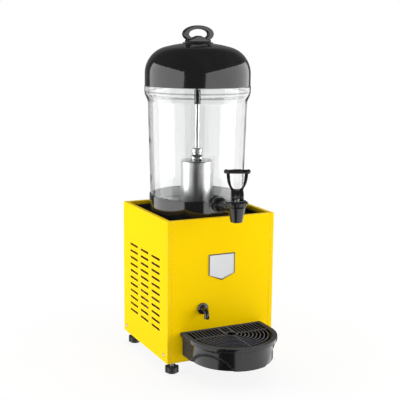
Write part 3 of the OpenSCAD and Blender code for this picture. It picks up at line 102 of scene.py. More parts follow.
# Softboxes: target, places and sizes
LAMP_TARGET = Vector((0.0, 0.05, 0.40))
LAMP_SIDE, LAMP_NEAR, LAMP_TOP = 1.65, 0.25, (0.0, -0.2, 2.3)
SIDE_LAMP_SIZE, TOP_LAMP_SIZE = (1.2, 1.3), (1.6, 1.6)
# Mirrored panels: start and end of each on the way to the camera, lean of its end
LEFT_PANEL = (-0.60, -0.57), (0.865, 0.885), 0.083
RIGHT_PANEL = (-0.86, -0.80), (0.945, 0.965), -0.034
PANEL_SLOPE, PANEL_EDGE, PANEL_FOOT = 0.45, 0.015, (-1.2, -0.6)
PANEL_LOW, PANEL_BOUNCE = (-0.36, -0.26), (-0.25, -0.12, 1.5, 1.0)
# Mirrored room: its level, the glow behind the part, and what the clear tank shows of it
ROOM_LEVEL, BACK_GLOW = 0.05, (0.6, 0.97, 0.0, 0.12)
CLEAR_LIMIT, CLEAR_BACK = 1.25, (0.2, 0.75)
# Floor: its radius, and how bright the camera sees it with the distance from the part
FLOOR_RADIUS, FLOOR_BRIGHT = 3.5, (0.25, 0.7, 0.86, 1.0)

FALLING = (1.0, 0.0)
COLOUR = {"size": 3, "min": 0.0, "max": 1.0}


# Sizes and colours that a user would change

class DispenserSizes(PropertyGroup):
    """Sizes of the details that are added to the parts."""

    sheet_round: FloatProperty(
        name="Sheet edge", description="Rounding of the folded sheet metal's edges",
        default=0.0007, min=0.0001, max=0.002, unit="LENGTH")
    mould_round: FloatProperty(
        name="Moulding edge", description="Rounding of the large plastic mouldings' edges",
        default=0.0011, min=0.0001, max=0.003, unit="LENGTH")
    fine_round: FloatProperty(
        name="Fine edge", description="Rounding of small mouldings and turned pieces",
        default=0.0005, min=0.0001, max=0.002, unit="LENGTH")
    rib_round: FloatProperty(
        name="Rib edge", description="Rounding of the grille's ribs",
        default=0.0015, min=0.0002, max=0.0016, unit="LENGTH")
    arch_round: FloatProperty(
        name="Arch edge", description="Rounding along the drip tray's arches",
        default=0.0017, min=0.0005, max=0.0018, unit="LENGTH")
    screw_head: FloatProperty(
        name="Screw head", description="Diameter of a panel screw's head",
        default=0.008, min=0.005, max=0.012, unit="LENGTH")
    screw_height: FloatProperty(
        name="Screw head height", description="Height of a panel screw's head",
        default=0.002, min=0.001, max=0.004, unit="LENGTH")
    screw_shank: FloatProperty(
        name="Screw shank", description="Diameter of a panel screw's shank",
        default=0.0038, min=0.002, max=0.006, unit="LENGTH")
    screw_length: FloatProperty(
        name="Screw length", description="Length of a panel screw below its head",
        default=0.006, min=0.003, max=0.012, unit="LENGTH")
    dial_marks: IntProperty(
        name="Dial marks", description="Marks around the thermostat's knob",
        default=11, min=5, max=21)
    dial_sweep: FloatProperty(
        name="Dial sweep", description="Angle that the marks go round the thermostat's knob",
        default=math.radians(300.0), min=math.radians(90.0), max=math.radians(330.0),
        subtype="ANGLE")


class DispenserColours(PropertyGroup):
    """Colours of the finishes."""

    enamel: FloatVectorProperty(
        name="Enamel", description="Powder coat of the cabinet's panels",
        default=(0.97, 0.645, 0.0), subtype="COLOR", **COLOUR)
    gloss: FloatVectorProperty(
        name="Gloss black", description="Glossy black mouldings",
        default=(0.011, 0.011, 0.012), subtype="COLOR", **COLOUR)
    satin: FloatVectorProperty(
        name="Satin black", description="Satin black mouldings",
        default=(0.016, 0.016, 0.017), subtype="COLOR", **COLOUR)
    tray: FloatVectorProperty(
        name="Tray black", description="Grained black of the drip tray and its grille",
        default=(0.006, 0.006, 0.0065), subtype="COLOR", **COLOUR)
    steel: FloatVectorProperty(
        name="Stainless", description="Brushed stainless steel",
        default=(0.66, 0.66, 0.67), subtype="COLOR", **COLOUR)
    clear: FloatVectorProperty(
        name="Clear tank", description="Tint of the clear polycarbonate",
        default=(0.885, 0.89, 0.89), subtype="COLOR", **COLOUR)
    copper: FloatVectorProperty(
        name="Copper", description="Refrigerant lines",
        default=(0.72, 0.40, 0.24), subtype="COLOR", **COLOUR)


class DispenserStage(PropertyGroup):
    """Camera and lamps."""

    eye: FloatVectorProperty(
        name="Camera", description="Place of the camera",
        default=(-0.87376, -1.75812, 0.73888), size=3, subtype="TRANSLATION")
    yaw: FloatProperty(
        name="Yaw", description="Turn of the view to the right of straight ahead",
        default=0.4501, subtype="ANGLE")
    pitch: FloatProperty(
        name="Pitch", description="Tilt of the view below level",
        default=0.1847, subtype="ANGLE")
    roll: FloatProperty(
        name="Roll", description="Turn of the view about its own line",
        default=0.009, subtype="ANGLE")
    lens: FloatProperty(
        name="Lens", description="Focal length in millimetres", default=80.605, min=20.0)
    ambient: FloatProperty(
        name="Ambient", description="Level of the even light", default=0.66, min=0.0)
    key: FloatProperty(
        name="Left softbox", description="Power of the softbox on the left",
        default=20.0, min=0.0, unit="POWER")
    fill: FloatProperty(
        name="Right softbox", description="Power of the softbox on the right",
        default=21.0, min=0.0, unit="POWER")
    top: FloatProperty(
        name="Top softbox", description="Power of the softbox above",
        default=9.0, min=0.0, unit="POWER")
    left_gleam: FloatProperty(
        name="Left gleam", description="Level of the panel that glossy surfaces mirror on the left",
        default=1.7, min=0.0)
    right_gleam: FloatProperty(
        name="Right gleam",
        description="Level of the panel that glossy surfaces mirror on the right",
        default=1.5, min=0.0)


# Node books: small helpers that write shader and geometry trees

def math_node(operation, swapped=False, clamp=False):
    """A method of a Signal that adds one Math node."""
    def method(self, other=0.0):
        node = self.tree.nodes.new("ShaderNodeMath")
        node.operation = operation
        node.use_clamp = clamp
        for place, value in zip(node.inputs, (other, self) if swapped else (self, other)):
            if isinstance(value, Signal):
                self.tree.links.new(value.socket, place)
            else:
                place.default_value = value
        return Signal(self.tree, node.outputs[0])
    return method


class Signal:
    """A socket of a tree, with arithmetic that adds Math nodes."""

    def __init__(self, tree, socket):
        self.tree = tree
        self.socket = socket

    __add__ = __radd__ = math_node("ADD")
    __mul__ = __rmul__ = math_node("MULTIPLY")
    __sub__ = math_node("SUBTRACT")
    __rsub__ = math_node("SUBTRACT", swapped=True)
    __truediv__ = math_node("DIVIDE")
    __mod__ = math_node("MODULO")
    __pow__ = math_node("POWER")
    above = math_node("GREATER_THAN")
    at_least = math_node("MAXIMUM")
    at_most = math_node("MINIMUM")
    held = math_node("ADD", clamp=True)

    def beside(self, output):
        return Signal(self.tree, self.socket.node.outputs[output])


class Book:
    """A node tree that is written with one call for each node."""

    def __init__(self, tree):
        self.tree = tree

    def feed(self, socket, value):
        if isinstance(value, Signal):
            self.tree.links.new(value.socket, socket)
        else:
            socket.default_value = value

    def node(self, kind, sockets=None, out=0, **settings):
        made = self.tree.nodes.new(kind)
        for key, value in settings.items():
            setattr(made, key, value)
        for key, value in (sockets or {}).items():
            self.feed(made.inputs[key], value)
        return None if out is None else Signal(self.tree, made.outputs[out])

    def window(self, value, low, high, to_low=0.0, to_high=1.0):
        return self.node("ShaderNodeMapRange", {
            "Value": value, "From Min": low, "From Max": high, "To Min": to_low,
            "To Max": to_high}, interpolation_type="SMOOTHSTEP")

    def band(self, value, start, end):
        return self.window(value, *start) * self.window(value, *end, *FALLING)

    def share(self, place, way):
        return self.node("ShaderNodeVectorMath", {0: place, 1: way}, "Value",
                         operation="DOT_PRODUCT")

    def ray(self, kind):
        return self.node("ShaderNodeLightPath", out=f"Is {kind} Ray")


class Finish(Book):
    """One procedural material on the Principled shader."""

    def __init__(self, name, **fixed):
        self.material = bpy.data.materials.new(name)
        self.material.use_nodes = True
        self.colours = bpy.context.scene.dispenser_colours
        super().__init__(self.material.node_tree)
        self.shader = next(n for n in self.tree.nodes if n.type == "BSDF_PRINCIPLED")
        self.place = self.node("ShaderNodeTexCoord", out="Object")
        self.set(**fixed)

    def set(self, **inputs):
        for key, value in inputs.items():
            self.feed(self.shader.inputs[key.replace("_", " ")], value)

    def noise(self, scale, detail=3.0, roughness=0.55, stretch=None):
        place = self.place
        if stretch:
            place = self.node("ShaderNodeMapping", {"Vector": place, "Scale": stretch})
        return self.node("ShaderNodeTexNoise", {
            "Vector": place, "Scale": scale, "Detail": detail, "Roughness": roughness}, "Fac")

    def patches(self, scale, detail, low, high, **noise):
        return self.window(self.noise(scale, detail, **noise), low, high)

    def spangle(self, scale, out="Distance"):
        return self.node("ShaderNodeTexVoronoi", {"Vector": self.place, "Scale": scale}, out)

    def mix(self, factor, first, second):
        def colour(value):
            return value if isinstance(value, Signal) else (*value, 1.0)
        return self.node("ShaderNodeMix", {0: factor, 6: colour(first), 7: colour(second)}, 2,
                         data_type="RGBA")

    def along(self, axis):
        return self.node("ShaderNodeSeparateXYZ", {0: self.place}, out=axis)

    def edges(self):
        return self.node("ShaderNodeAttribute", out="Fac", attribute_name="edge_wear")

    def worn(self, scale, low, high):
        return self.edges() * self.patches(scale, 4.0, low, high)

    def facing(self, way):
        normal = self.node("ShaderNodeAttribute", out="Vector", attribute_name="facing")
        return self.share(normal, way)

    def done(self, colour, roughness, bump=None, **more):
        """Feeds the varying inputs, and a bump of height, depth and strength."""
        self.set(Base_Color=colour, Roughness=roughness, **more)
        if bump:
            sockets = dict(zip(("Height", "Distance", "Strength"), bump))
            self.set(Normal=self.node("ShaderNodeBump", sockets, out="Normal"))


def tone(colour, factor):
    """A colour made lighter or darker."""
    return tuple(min(1.0, c * factor) for c in colour)


def beyond(place, offsets):
    """Two places given by their offsets from one."""
    return [place + offset for offset in offsets]


# Finishes of the material slots, and of parts that have one of their own

FINISHES, MADE = {}, {}
SLOT_OF = {
    name: node.material_slots[0].material.name.split(".")[0] for name, node in NODES.items()
}


def finish_with(**fixed):
    """Keeps a finish under its function's name, with the inputs that don't vary."""
    def keep(paint):
        FINISHES[paint.__name__] = paint, fixed
        return paint
    return keep


def finish_of(name):
    """The material of a finish, made at its first use."""
    if name not in MADE:
        paint, fixed = FINISHES[name]
        coat = Finish(name, **fixed)
        paint(coat)
        MADE[name] = coat.material
    return MADE[name]


@finish_with(Specular_IOR_Level=0.03, Coat_Roughness=0.06)
def yellow_enamel(coat):
    base = tuple(coat.colours.enamel)
    speck = coat.noise(2600.0, 2.0)
    worn = coat.worn(160.0, 0.42, 0.62)
    paint = coat.mix(coat.noise(7.0, 4.0), tone(base, 0.965), tone(base, 1.025))
    coat.done(
        coat.mix(worn * 0.5, paint, (1.0, 0.90, 0.30)),
        0.27 + 0.10 * coat.noise(38.0, 5.0) + 0.05 * speck,
        (coat.noise(620.0) + 0.3 * speck, 0.00002, 0.35),
        Coat_Weight=0.016 - 0.012 * coat.patches(15.0, 3.0, 0.45, 0.7))


@finish_with(Specular_IOR_Level=0.62, Coat_Roughness=0.04)
def gloss_black(coat):
    base = tuple(coat.colours.gloss)
    smear = coat.patches(24.0, 5.0, 0.40, 0.72)
    hair = coat.patches(420.0, 2.0, 0.60, 0.72, stretch=(1.0, 0.12, 0.6))
    dust = coat.patches(1500.0, 2.0, 0.66, 0.74)
    worn = coat.worn(220.0, 0.40, 0.66)
    shade = coat.mix(smear, base, tone(base, 1.35))
    coat.done(
        coat.mix((worn * 0.35 + dust * 0.10).held(), shade, (0.06, 0.06, 0.063)),
        0.07 + 0.05 * smear + 0.04 * hair + 0.10 * worn,
        (coat.noise(85.0, 2.0) + 0.25 * hair, 0.00003, 0.16),
        Coat_Weight=0.45 - 0.15 * smear)


@finish_with(Specular_IOR_Level=0.45)
def satin_black(coat):
    base = tuple(coat.colours.satin)
    grain = coat.noise(2200.0, 3.0, 0.6)
    cloud = coat.noise(30.0, 4.0)
    worn = coat.worn(260.0, 0.38, 0.64)
    shade = coat.mix(cloud, base, tone(base, 1.5))
    coat.done(
        coat.mix(worn * 0.5, shade, (0.075, 0.075, 0.078)),
        0.36 + 0.14 * grain + 0.08 * cloud - 0.10 * worn, (grain, 0.00006, 0.45))


@finish_with(Specular_IOR_Level=0.34)
def tap_black(coat):
    base = tuple(coat.colours.gloss)
    grain = coat.noise(1500.0, 3.0, 0.6)
    smear = coat.patches(60.0, 5.0, 0.42, 0.72)
    worn = coat.worn(240.0, 0.38, 0.64)
    shade = coat.mix(smear, base, tone(base, 1.4))
    coat.done(
        coat.mix(worn * 0.4, shade, (0.07, 0.07, 0.073)),
        0.15 + 0.05 * grain + 0.06 * smear + 0.06 * worn, (grain, 0.00003, 0.25))


def arch_band(coat, sole, centre):
    """The matt band along both arches of the tray, whose round end has its centre on y."""
    rise = coat.along("Z") - (sole + ARCH_RISE - ARCH_RADIUS)
    both = 0.0
    for angle in (-ARCH_ANGLE, ARCH_ANGLE):
        x, y = math.cos(angle), math.sin(angle)
        across = coat.share(coat.place, (x, y, 0.0)) - centre * y
        outward = coat.share(coat.place, (y, -x, 0.0)) + centre * x
        reach = (across * across + rise * rise) ** 0.5
        band = coat.band(reach, beyond(ARCH_RADIUS, ARCH_BAND_START),
                         beyond(ARCH_RADIUS, ARCH_BAND_END))
        both = band * coat.window(outward, 0.0, ARCH_BAND_FADE) + both
    return both


@finish_with(Specular_IOR_Level=0.08, Coat_Roughness=0.10)
def tray_black(coat):
    base = tuple(coat.colours.tray)
    low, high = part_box("drip_tray")
    round_end = low[1] + high[0]
    rim = coat.window(coat.along("Z"), *beyond(high[2], TRAY_RIM))
    flank = coat.window(coat.along("Y"), round_end, round_end + TRAY_FLANK)
    matt = rim.at_least(flank).at_least(arch_band(coat, low[2], round_end))
    grain = coat.noise(1900.0, 3.0, 0.6)
    cloud = coat.noise(22.0, 4.0)
    scuff = coat.patches(330.0, 3.0, 0.60, 0.74, stretch=(1.0, 0.3, 0.15))
    worn = coat.worn(200.0, 0.36, 0.62)
    shade = coat.mix(cloud, tone(base, 0.85), tone(base, 1.2))
    # painted reflection: the rim fully and the flanks partly are lifted to a bluish grey, standing
    # in for the grey they mirror
    shade = coat.mix(rim.at_least(0.6 * flank), shade, (0.044, 0.048, 0.063))
    coat.done(
        coat.mix((0.5 * worn + 0.12 * scuff).held(), shade, (0.11, 0.11, 0.118)),
        0.20 + 0.04 * grain + 0.04 * cloud + 0.06 * worn + 0.35 * rim,
        (grain, 0.00003, 0.20), Coat_Weight=0.46 - 0.44 * matt)


@finish_with(Specular_IOR_Level=0.05, Coat_Roughness=0.18)
def grille_black(coat):
    base = tuple(coat.colours.tray)
    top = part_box("drip_grille")[1][2]
    # painted shade: below a set depth the slots are painted nearly black, as the shade deep between
    # the ribs
    above_slot_shade = coat.window(coat.along("Z"), *beyond(top, SLOT_SHADE_DEPTH))
    lit_flat_top = coat.window(coat.facing((0.0, 0.0, 1.0)), 0.80, 0.97)
    to_front = coat.window(coat.facing((0.0, -1.0, 0.0)), -0.05, 0.15)
    grain = coat.noise(1600.0, 3.0, 0.6)
    film = coat.patches(34.0, 5.0, 0.44, 0.70)
    worn = coat.worn(240.0, 0.30, 0.56)
    rib = coat.mix(film, tone(base, 1.8), tone(base, 2.8))
    # painted highlight: faces that look up are painted a lighter bluish grey than the ribs' sides
    rib = coat.mix(lit_flat_top, rib, (0.086, 0.093, 0.120))
    # edge wear, which also stands as a painted highlight along the ribs' rounded edges
    rib = coat.mix(0.10 * worn, rib, (0.19, 0.20, 0.24))
    coat.done(
        coat.mix(above_slot_shade, (0.0012, 0.0012, 0.0013), rib),
        0.62 + 0.16 * grain - 0.10 * film, (grain, 0.00006, 0.4),
        Coat_Weight=0.9 * above_slot_shade * to_front * (1.0 - lit_flat_top))


@finish_with(Specular_IOR_Level=0.40)
def foot_black(coat):
    base = tuple(coat.colours.satin)
    stud = coat.window(coat.along("Z"), *STUD_START)
    turns = coat.node("ShaderNodeTexWave", {"Vector": coat.place, "Scale": 250.0}, "Fac",
                      bands_direction="Z", wave_profile="TRI")
    grain = coat.noise(2100.0, 3.0, 0.6)
    dirt = coat.patches(120.0, 5.0, 0.46, 0.72)
    plastic = coat.mix(dirt, base, tone(base, 2.0))
    steel = coat.mix(dirt, (0.42, 0.42, 0.43), (0.24, 0.23, 0.22))
    coat.done(
        coat.mix(stud, plastic, steel), 0.40 + 0.12 * grain + 0.06 * dirt,
        (grain * (1.0 - stud) * 0.12 + turns * stud, 0.0005, 0.6), Metallic=stud)


@finish_with(Specular_IOR_Level=0.3)
def grey_silicone(coat):
    grain = coat.noise(900.0)
    shade = coat.mix(coat.noise(26.0, 4.0), (0.74, 0.75, 0.75), (0.82, 0.83, 0.83))
    coat.done(shade, 0.52 + 0.16 * grain, (grain, 0.00006, 0.4))


@finish_with(Specular_IOR_Level=0.3)
def dial_print(coat):
    wear = coat.patches(900.0, 4.0, 0.55, 0.75)
    shade = coat.mix(wear, (0.02, 0.02, 0.02), (0.09, 0.08, 0.05))
    coat.done(shade, 0.45 + 0.2 * coat.noise(1300.0))


@finish_with(Metallic=1.0)
def stainless(coat):
    base = tuple(coat.colours.steel)
    brushed = coat.noise(260.0, 4.0, 0.65, stretch=(0.25, 0.25, 16.0))
    cloud = coat.noise(18.0, 4.0)
    stain = coat.patches(70.0, 5.0, 0.56, 0.74)
    shade = coat.mix((0.55 * brushed + 0.35 * stain).held(), base, tone(base, 0.80))
    coat.done(shade, 0.24 + 0.10 * brushed + 0.05 * cloud, (brushed, 0.00002, 0.30))


@finish_with(Metallic=1.0)
def drawn_steel(coat):
    base = tone(tuple(coat.colours.steel), 0.9)
    drawn = coat.noise(420.0, 4.0, 0.6, stretch=(1.0, 1.0, 0.05))
    stain = coat.patches(60.0, 5.0, 0.52, 0.74)
    shade = coat.mix((0.5 * drawn + 0.4 * stain).held(), base, tone(base, 0.75))
    coat.done(shade, 0.12 + 0.10 * drawn + 0.05 * stain, (drawn, 0.00002, 0.25))


@finish_with(Metallic=1.0)
def zinc_sheet(coat):
    flake = coat.spangle(130.0, out="Color")
    patch = coat.spangle(130.0)
    streak = coat.noise(90.0, 4.0, stretch=(1.0, 6.0, 1.0))
    shade = coat.mix(flake, (0.60, 0.61, 0.63), (0.72, 0.73, 0.75))
    coat.done(
        coat.mix(0.4 * streak, shade, (0.48, 0.49, 0.51)),
        0.26 + 0.16 * patch + 0.12 * streak, (streak + 0.4 * patch, 0.00003, 0.25))


@finish_with(Metallic=0.92)
def badge_metal(coat):
    brushed = coat.noise(300.0, 4.0, 0.65, stretch=(0.3, 1.0, 14.0))
    cloud = coat.noise(40.0)
    worn = coat.edges()
    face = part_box("badge_plate")[0][1]
    rim = coat.window(coat.along("Y"), *beyond(face, BADGE_PAINTED_RIM), *FALLING)
    shade = coat.mix(brushed, (0.44, 0.445, 0.45), (0.54, 0.545, 0.55))
    # painted reflection: the rim just behind the face is painted nearly black, as the dark
    # surroundings that a bright frame would mirror
    shade = coat.mix(rim, shade, (0.05, 0.05, 0.052))
    coat.done(
        coat.mix(worn * 0.30, shade, (0.62, 0.63, 0.64)),
        0.38 + 0.16 * brushed + 0.08 * cloud - 0.12 * worn, (brushed, 0.00003, 0.35))


@finish_with(Transmission_Weight=1.0, IOR=1.47, Specular_IOR_Level=0.5)
def clear_tank(coat):
    base = tuple(coat.colours.clear)
    flow = coat.noise(9.0, 2.0, stretch=(1.0, 1.0, 0.35))
    haze = coat.patches(140.0, 5.0, 0.52, 0.80)
    edge_on = coat.node("ShaderNodeLayerWeight", {"Blend": 0.5}, out="Facing")
    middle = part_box("lid")[0][2] - BEAD_DROP
    inner, outer = BEAD_EDGE
    bead = coat.band(coat.along("Z"), beyond(middle, (-outer, -inner)), beyond(middle, BEAD_EDGE))
    shade = coat.mix(haze, base, tone(base, 0.985))
    # painted shade: the tint is greyed where the wall is seen edge-on, on rounded edges and in a
    # band at the bead below the lid, in place of dark reflections and refractions
    darker = coat.window(edge_on, 0.40, 0.95) * 0.8
    darker = darker.at_least(coat.edges() * 0.75).at_least(bead)
    coat.done(
        coat.mix(darker, shade, tone(base, 0.48)), 0.006 + 0.030 * haze,
        (flow, 0.0004, 0.05), Alpha=1.0 - 0.85 * coat.ray("Shadow"))


@finish_with(Specular_IOR_Level=0.3)
def black_rubber(coat):
    grain = coat.noise(1400.0, 4.0, 0.6)
    bloom = coat.patches(45.0, 4.0, 0.48, 0.75)
    shade = coat.mix(bloom, (0.016, 0.016, 0.016), (0.040, 0.040, 0.039))
    coat.done(shade, 0.66 + 0.18 * grain, (grain, 0.00008, 0.5))


@finish_with(Specular_IOR_Level=0.5)
def black_shell(coat):
    peel = coat.noise(500.0)
    dust = coat.patches(60.0, 5.0, 0.50, 0.78)
    shade = coat.mix(dust, (0.014, 0.014, 0.015), (0.05, 0.049, 0.047))
    coat.done(shade, 0.28 + 0.20 * dust + 0.08 * peel, (peel, 0.00005, 0.35))


@finish_with(Metallic=1.0)
def finned_aluminium(coat):
    streak = coat.noise(180.0, 4.0, stretch=(8.0, 1.0, 0.6))
    dust = coat.patches(50.0, 4.0, 0.50, 0.75)
    shade = coat.mix(0.45 * dust + 0.3 * streak, (0.78, 0.79, 0.80), (0.52, 0.52, 0.52))
    coat.done(shade, 0.32 + 0.18 * streak + 0.12 * dust, (streak, 0.00004, 0.3))


@finish_with(Metallic=0.75)
def plated_motor(coat):
    cloud = coat.noise(60.0, 4.0)
    peel = coat.noise(700.0)
    shade = coat.mix(cloud, (0.36, 0.37, 0.39), (0.50, 0.51, 0.53))
    coat.done(shade, 0.36 + 0.16 * cloud + 0.06 * peel, (peel, 0.00004, 0.3))


@finish_with(Metallic=1.0)
def copper_tube(coat):
    tarnish = coat.patches(75.0, 5.0, 0.44, 0.72)
    drawn = coat.noise(700.0, 3.0, stretch=(1.0, 1.0, 0.1))
    shade = coat.mix(tarnish, tuple(coat.colours.copper), (0.36, 0.19, 0.12))
    coat.done(shade, 0.20 + 0.22 * tarnish + 0.08 * drawn, (drawn, 0.00003, 0.25))


@finish_with(Specular_IOR_Level=0.4)
def ivory_plastic(coat):
    grain = coat.noise(1700.0)
    shade = coat.mix(coat.noise(35.0, 4.0), (0.80, 0.77, 0.69), (0.70, 0.66, 0.57))
    coat.done(shade, 0.42 + 0.14 * grain, (grain, 0.00005, 0.35))


# Pieces made from the parts' own meshes

def placed(name, data):
    """A new object in the scene."""
    made = bpy.data.objects.new(name, data)
    bpy.context.scene.collection.objects.link(made)
    return made


def joined_copy(node):
    """A part's mesh with its triangles joined."""
    bm = bmesh.new()
    bm.from_mesh(NODES[node].data)
    bmesh.ops.remove_doubles(bm, verts=bm.verts[:], dist=0.000002)
    return bm


def round_edges(bm, width, steps, where=None):
    """Rounds the outward edges, or those of them at a place, and marks the new faces for edge wear
    and for painted light on edges.
    """
    layers = bm.loops.layers.float
    worn = layers.get("edge_wear") or layers.new("edge_wear")
    edges = [e for e in bm.edges
             if len(e.link_faces) == 2 and e.is_convex and e.calc_face_angle() > SHARP_EDGE
             and (where is None or where((e.verts[0].co + e.verts[1].co) / 2.0))]
    made = bmesh.ops.bevel(bm, geom=edges, offset=width, offset_type="OFFSET", segments=steps,
                           profile=0.5, affect="EDGES", clamp_overlap=False)
    for face in made["faces"]:
        for loop in face.loops:
            loop[worn] = 1.0


def note_facing(bm):
    """Writes on every face the way that it looks."""
    facing = bm.loops.layers.float_vector.new("facing")
    bm.normal_update()
    for face in bm.faces:
        for loop in face.loops:
            loop[facing] = face.normal


def cut_off(bm, height, keep_above):
    """Takes away what lies above or below a height, and closes the cut."""
    made = bmesh.ops.bisect_plane(
        bm, geom=bm.verts[:] + bm.edges[:] + bm.faces[:], dist=0.0000001,
        plane_co=(0.0, 0.0, height), plane_no=(0.0, 0.0, 1.0),
        clear_inner=keep_above, clear_outer=not keep_above)
    rim = [item for item in made["geom_cut"] if isinstance(item, bmesh.types.BMEdge)]
    bmesh.ops.triangle_fill(bm, edges=rim, use_beauty=True, use_dissolve=False)
    return outward(bm)


def outward(bm):
    """The mesh with all its faces turned outwards."""
    bmesh.ops.recalc_face_normals(bm, faces=bm.faces[:])
    return bm


def added(bm, other):
    """A mesh with another one put into it."""
    mesh = bpy.data.meshes.new("part")
    other.to_mesh(mesh)
    other.free()
    bm.from_mesh(mesh)
    bpy.data.meshes.remove(mesh)
    return bm


def bent(points, steps=5):
    """A smooth line through a few points."""
    ends = (points[0], *points, points[-1])
    line = []
    for group in zip(ends, ends[1:], ends[2:], ends[3:]):
        for step in range(steps):
            t = step / steps
            line.append(tuple(
                0.5 * (2.0 * b + (c - a) * t + (2.0 * a - 5.0 * b + 4.0 * c - d) * t ** 2
                       + (3.0 * b - a - 3.0 * c + d) * t ** 3) for a, b, c, d in zip(*group)))
    return line + [points[-1]]


def lathed(profile, centre, segments=72):
    """A closed solid of rotation about an upright line, from a loop of radius and height."""
    bm = bmesh.new()
    loops = []
    for step in range(segments):
        angle = 2.0 * math.pi * step / segments
        x, y = math.cos(angle), math.sin(angle)
        loops.append([bm.verts.new((centre[0] + r * x, centre[1] + r * y, z)) for r, z in profile])
    for here, there in zip(loops, loops[1:] + loops[:1]):
        for i in range(len(profile)):
            j = (i + 1) % len(profile)
            bm.faces.new((here[i], there[i], there[j], here[j]))
    return outward(bm)


def plate(outline, depth):
    """A closed slab of an outline in x and z, centred on y."""
    bm = bmesh.new()
    front, back = ([bm.verts.new((x, y, z)) for x, z in outline]
                   for y in (-depth / 2.0, depth / 2.0))
    bm.faces.new(front)
    bm.faces.new(back)
    for i in range(len(outline)):
        j = (i + 1) % len(outline)
        bm.faces.new((front[i], front[j], back[j], back[i]))
    return outward(bm)


def settled(name, bm, material):
    """A finished object of a mesh, with normals that keep its flat faces flat."""
    mesh = bpy.data.meshes.new(name)
    bm.to_mesh(mesh)
    bm.free()
    mesh.materials.append(material)
    for polygon in mesh.polygons:
        polygon.use_smooth = True
    mesh.set_sharp_from_angle(angle=SMOOTH_BELOW)
    piece = placed(name, mesh)
    weighted = piece.modifiers.new("flat_faces", "WEIGHTED_NORMAL")
    weighted.keep_sharp = True
    return plain(piece)


def plain(piece):
    """The object with its modifiers worked into its mesh."""
    bpy.context.view_layer.update()
    graph = bpy.context.evaluated_depsgraph_get()
    mesh = bpy.data.meshes.new_from_object(piece.evaluated_get(graph), depsgraph=graph)
    mesh.name = piece.name
    piece.modifiers.clear()
    piece.data = mesh
    return piece


def fit_out(piece, slot, *nodes):
    """Puts a piece on the body of the parts that it stands for."""
    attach(piece, NODES[nodes[0]]["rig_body"])
    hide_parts(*nodes)


def soften(node, width, steps=2, finish=None, first=None, shape=None):
    """A part, or another shape for it, with its edges rounded, some of them wider."""
    bm = shape or joined_copy(node)
    if first:
        round_edges(bm, first[0], 4, first[1])
    round_edges(bm, width, steps)
    note_facing(bm)
    slot = SLOT_OF[node]
    fit_out(settled(node + "_soft", bm, finish_of(finish or slot)), slot, node)


# Pieces that repeat, grown by geometry trees

class Recipe(Book):
    """A geometry tree with named inputs for its sizes."""

    def __init__(self, name, sizes):
        super().__init__(bpy.data.node_groups.new(name, "GeometryNodeTree"))
        face = self.tree.interface
        face.new_socket("Geometry", in_out="INPUT", socket_type="NodeSocketGeometry")
        face.new_socket("Geometry", in_out="OUTPUT", socket_type="NodeSocketGeometry")
        self.values = {}
        for label, value in sizes.items():
            kind = "NodeSocketInt" if isinstance(value, int) else "NodeSocketFloat"
            socket = face.new_socket(label, in_out="INPUT", socket_type=kind)
            self.values[socket.identifier] = value
        entry = self.tree.nodes.new("NodeGroupInput")
        self.size = {socket.name: Signal(self.tree, socket) for socket in entry.outputs}

    def vector(self, x, y, z):
        return self.node("ShaderNodeCombineXYZ", {"X": x, "Y": y, "Z": z})

    def bar(self, x, y, z):
        return self.node("GeometryNodeMeshCube", {"Size": self.vector(x, y, z)}, out="Mesh")

    def moved(self, shape, x=0.0, y=0.0, z=0.0, turn=(0.0, 0.0, 0.0)):
        return self.node("GeometryNodeTransform", {
            "Geometry": shape, "Translation": self.vector(x, y, z), "Rotation": turn})

    def joined(self, *shapes):
        made = self.tree.nodes.new("GeometryNodeJoinGeometry")
        for shape in shapes:
            self.feed(made.inputs[0], shape)
        return Signal(self.tree, made.outputs[0])

    def turned(self, height, levels, radius, sides=28):
        """A round solid on z = 0 whose radius is worked out from the share of its height."""
        blank = self.node("GeometryNodeMeshCylinder", {
            "Vertices": sides, "Side Segments": levels, "Radius": 1.0, "Depth": height}, "Mesh",
            fill_type="NGON")
        place = self.node("GeometryNodeInputPosition")
        x, y, z = (self.node("ShaderNodeSeparateXYZ", {0: place}, out=key) for key in "XYZ")
        share = z / height + 0.5
        reach = radius(share)
        place = self.vector(x * reach, y * reach, share * height)
        return self.node("GeometryNodeSetPosition", {"Geometry": blank, "Position": place})

    def grow(self, piece, result, material):
        """Ends the tree, works it into the object's mesh and takes the modifier off."""
        real = self.node("GeometryNodeRealizeInstances", {"Geometry": result})
        dressed = self.node("GeometryNodeSetMaterial", {"Geometry": real, "Material": material})
        self.node("NodeGroupOutput", {"Geometry": dressed}, out=None)
        modifier = piece.modifiers.new(self.tree.name, "NODES")
        modifier.node_group = self.tree
        for identifier, value in self.values.items():
            modifier[identifier] = value
        return plain(piece)


def points_object(name, places, facings=()):
    """Loose points, each with the way that it faces."""
    mesh = bpy.data.meshes.new(name)
    mesh.from_pydata([tuple(place) for place in places], [], [])
    if facings:
        way = mesh.attributes.new("facing", "FLOAT_VECTOR", "POINT")
        for entry, facing in zip(way.data, facings):
            entry.vector = facing
    return placed(name, mesh)


def islands(node):
    """The separate shells of a part, as lists of points."""
    bm = joined_copy(node)
    left = set(bm.verts)
    groups = []
    while left:
        reach = [left.pop()]
        group = []
        while reach:
            vert = reach.pop()
            group.append(vert.co.copy())
            near = {edge.other_vert(vert) for edge in vert.link_edges} & left
            left -= near
            reach.extend(near)
        groups.append(group)
    bm.free()
    return groups


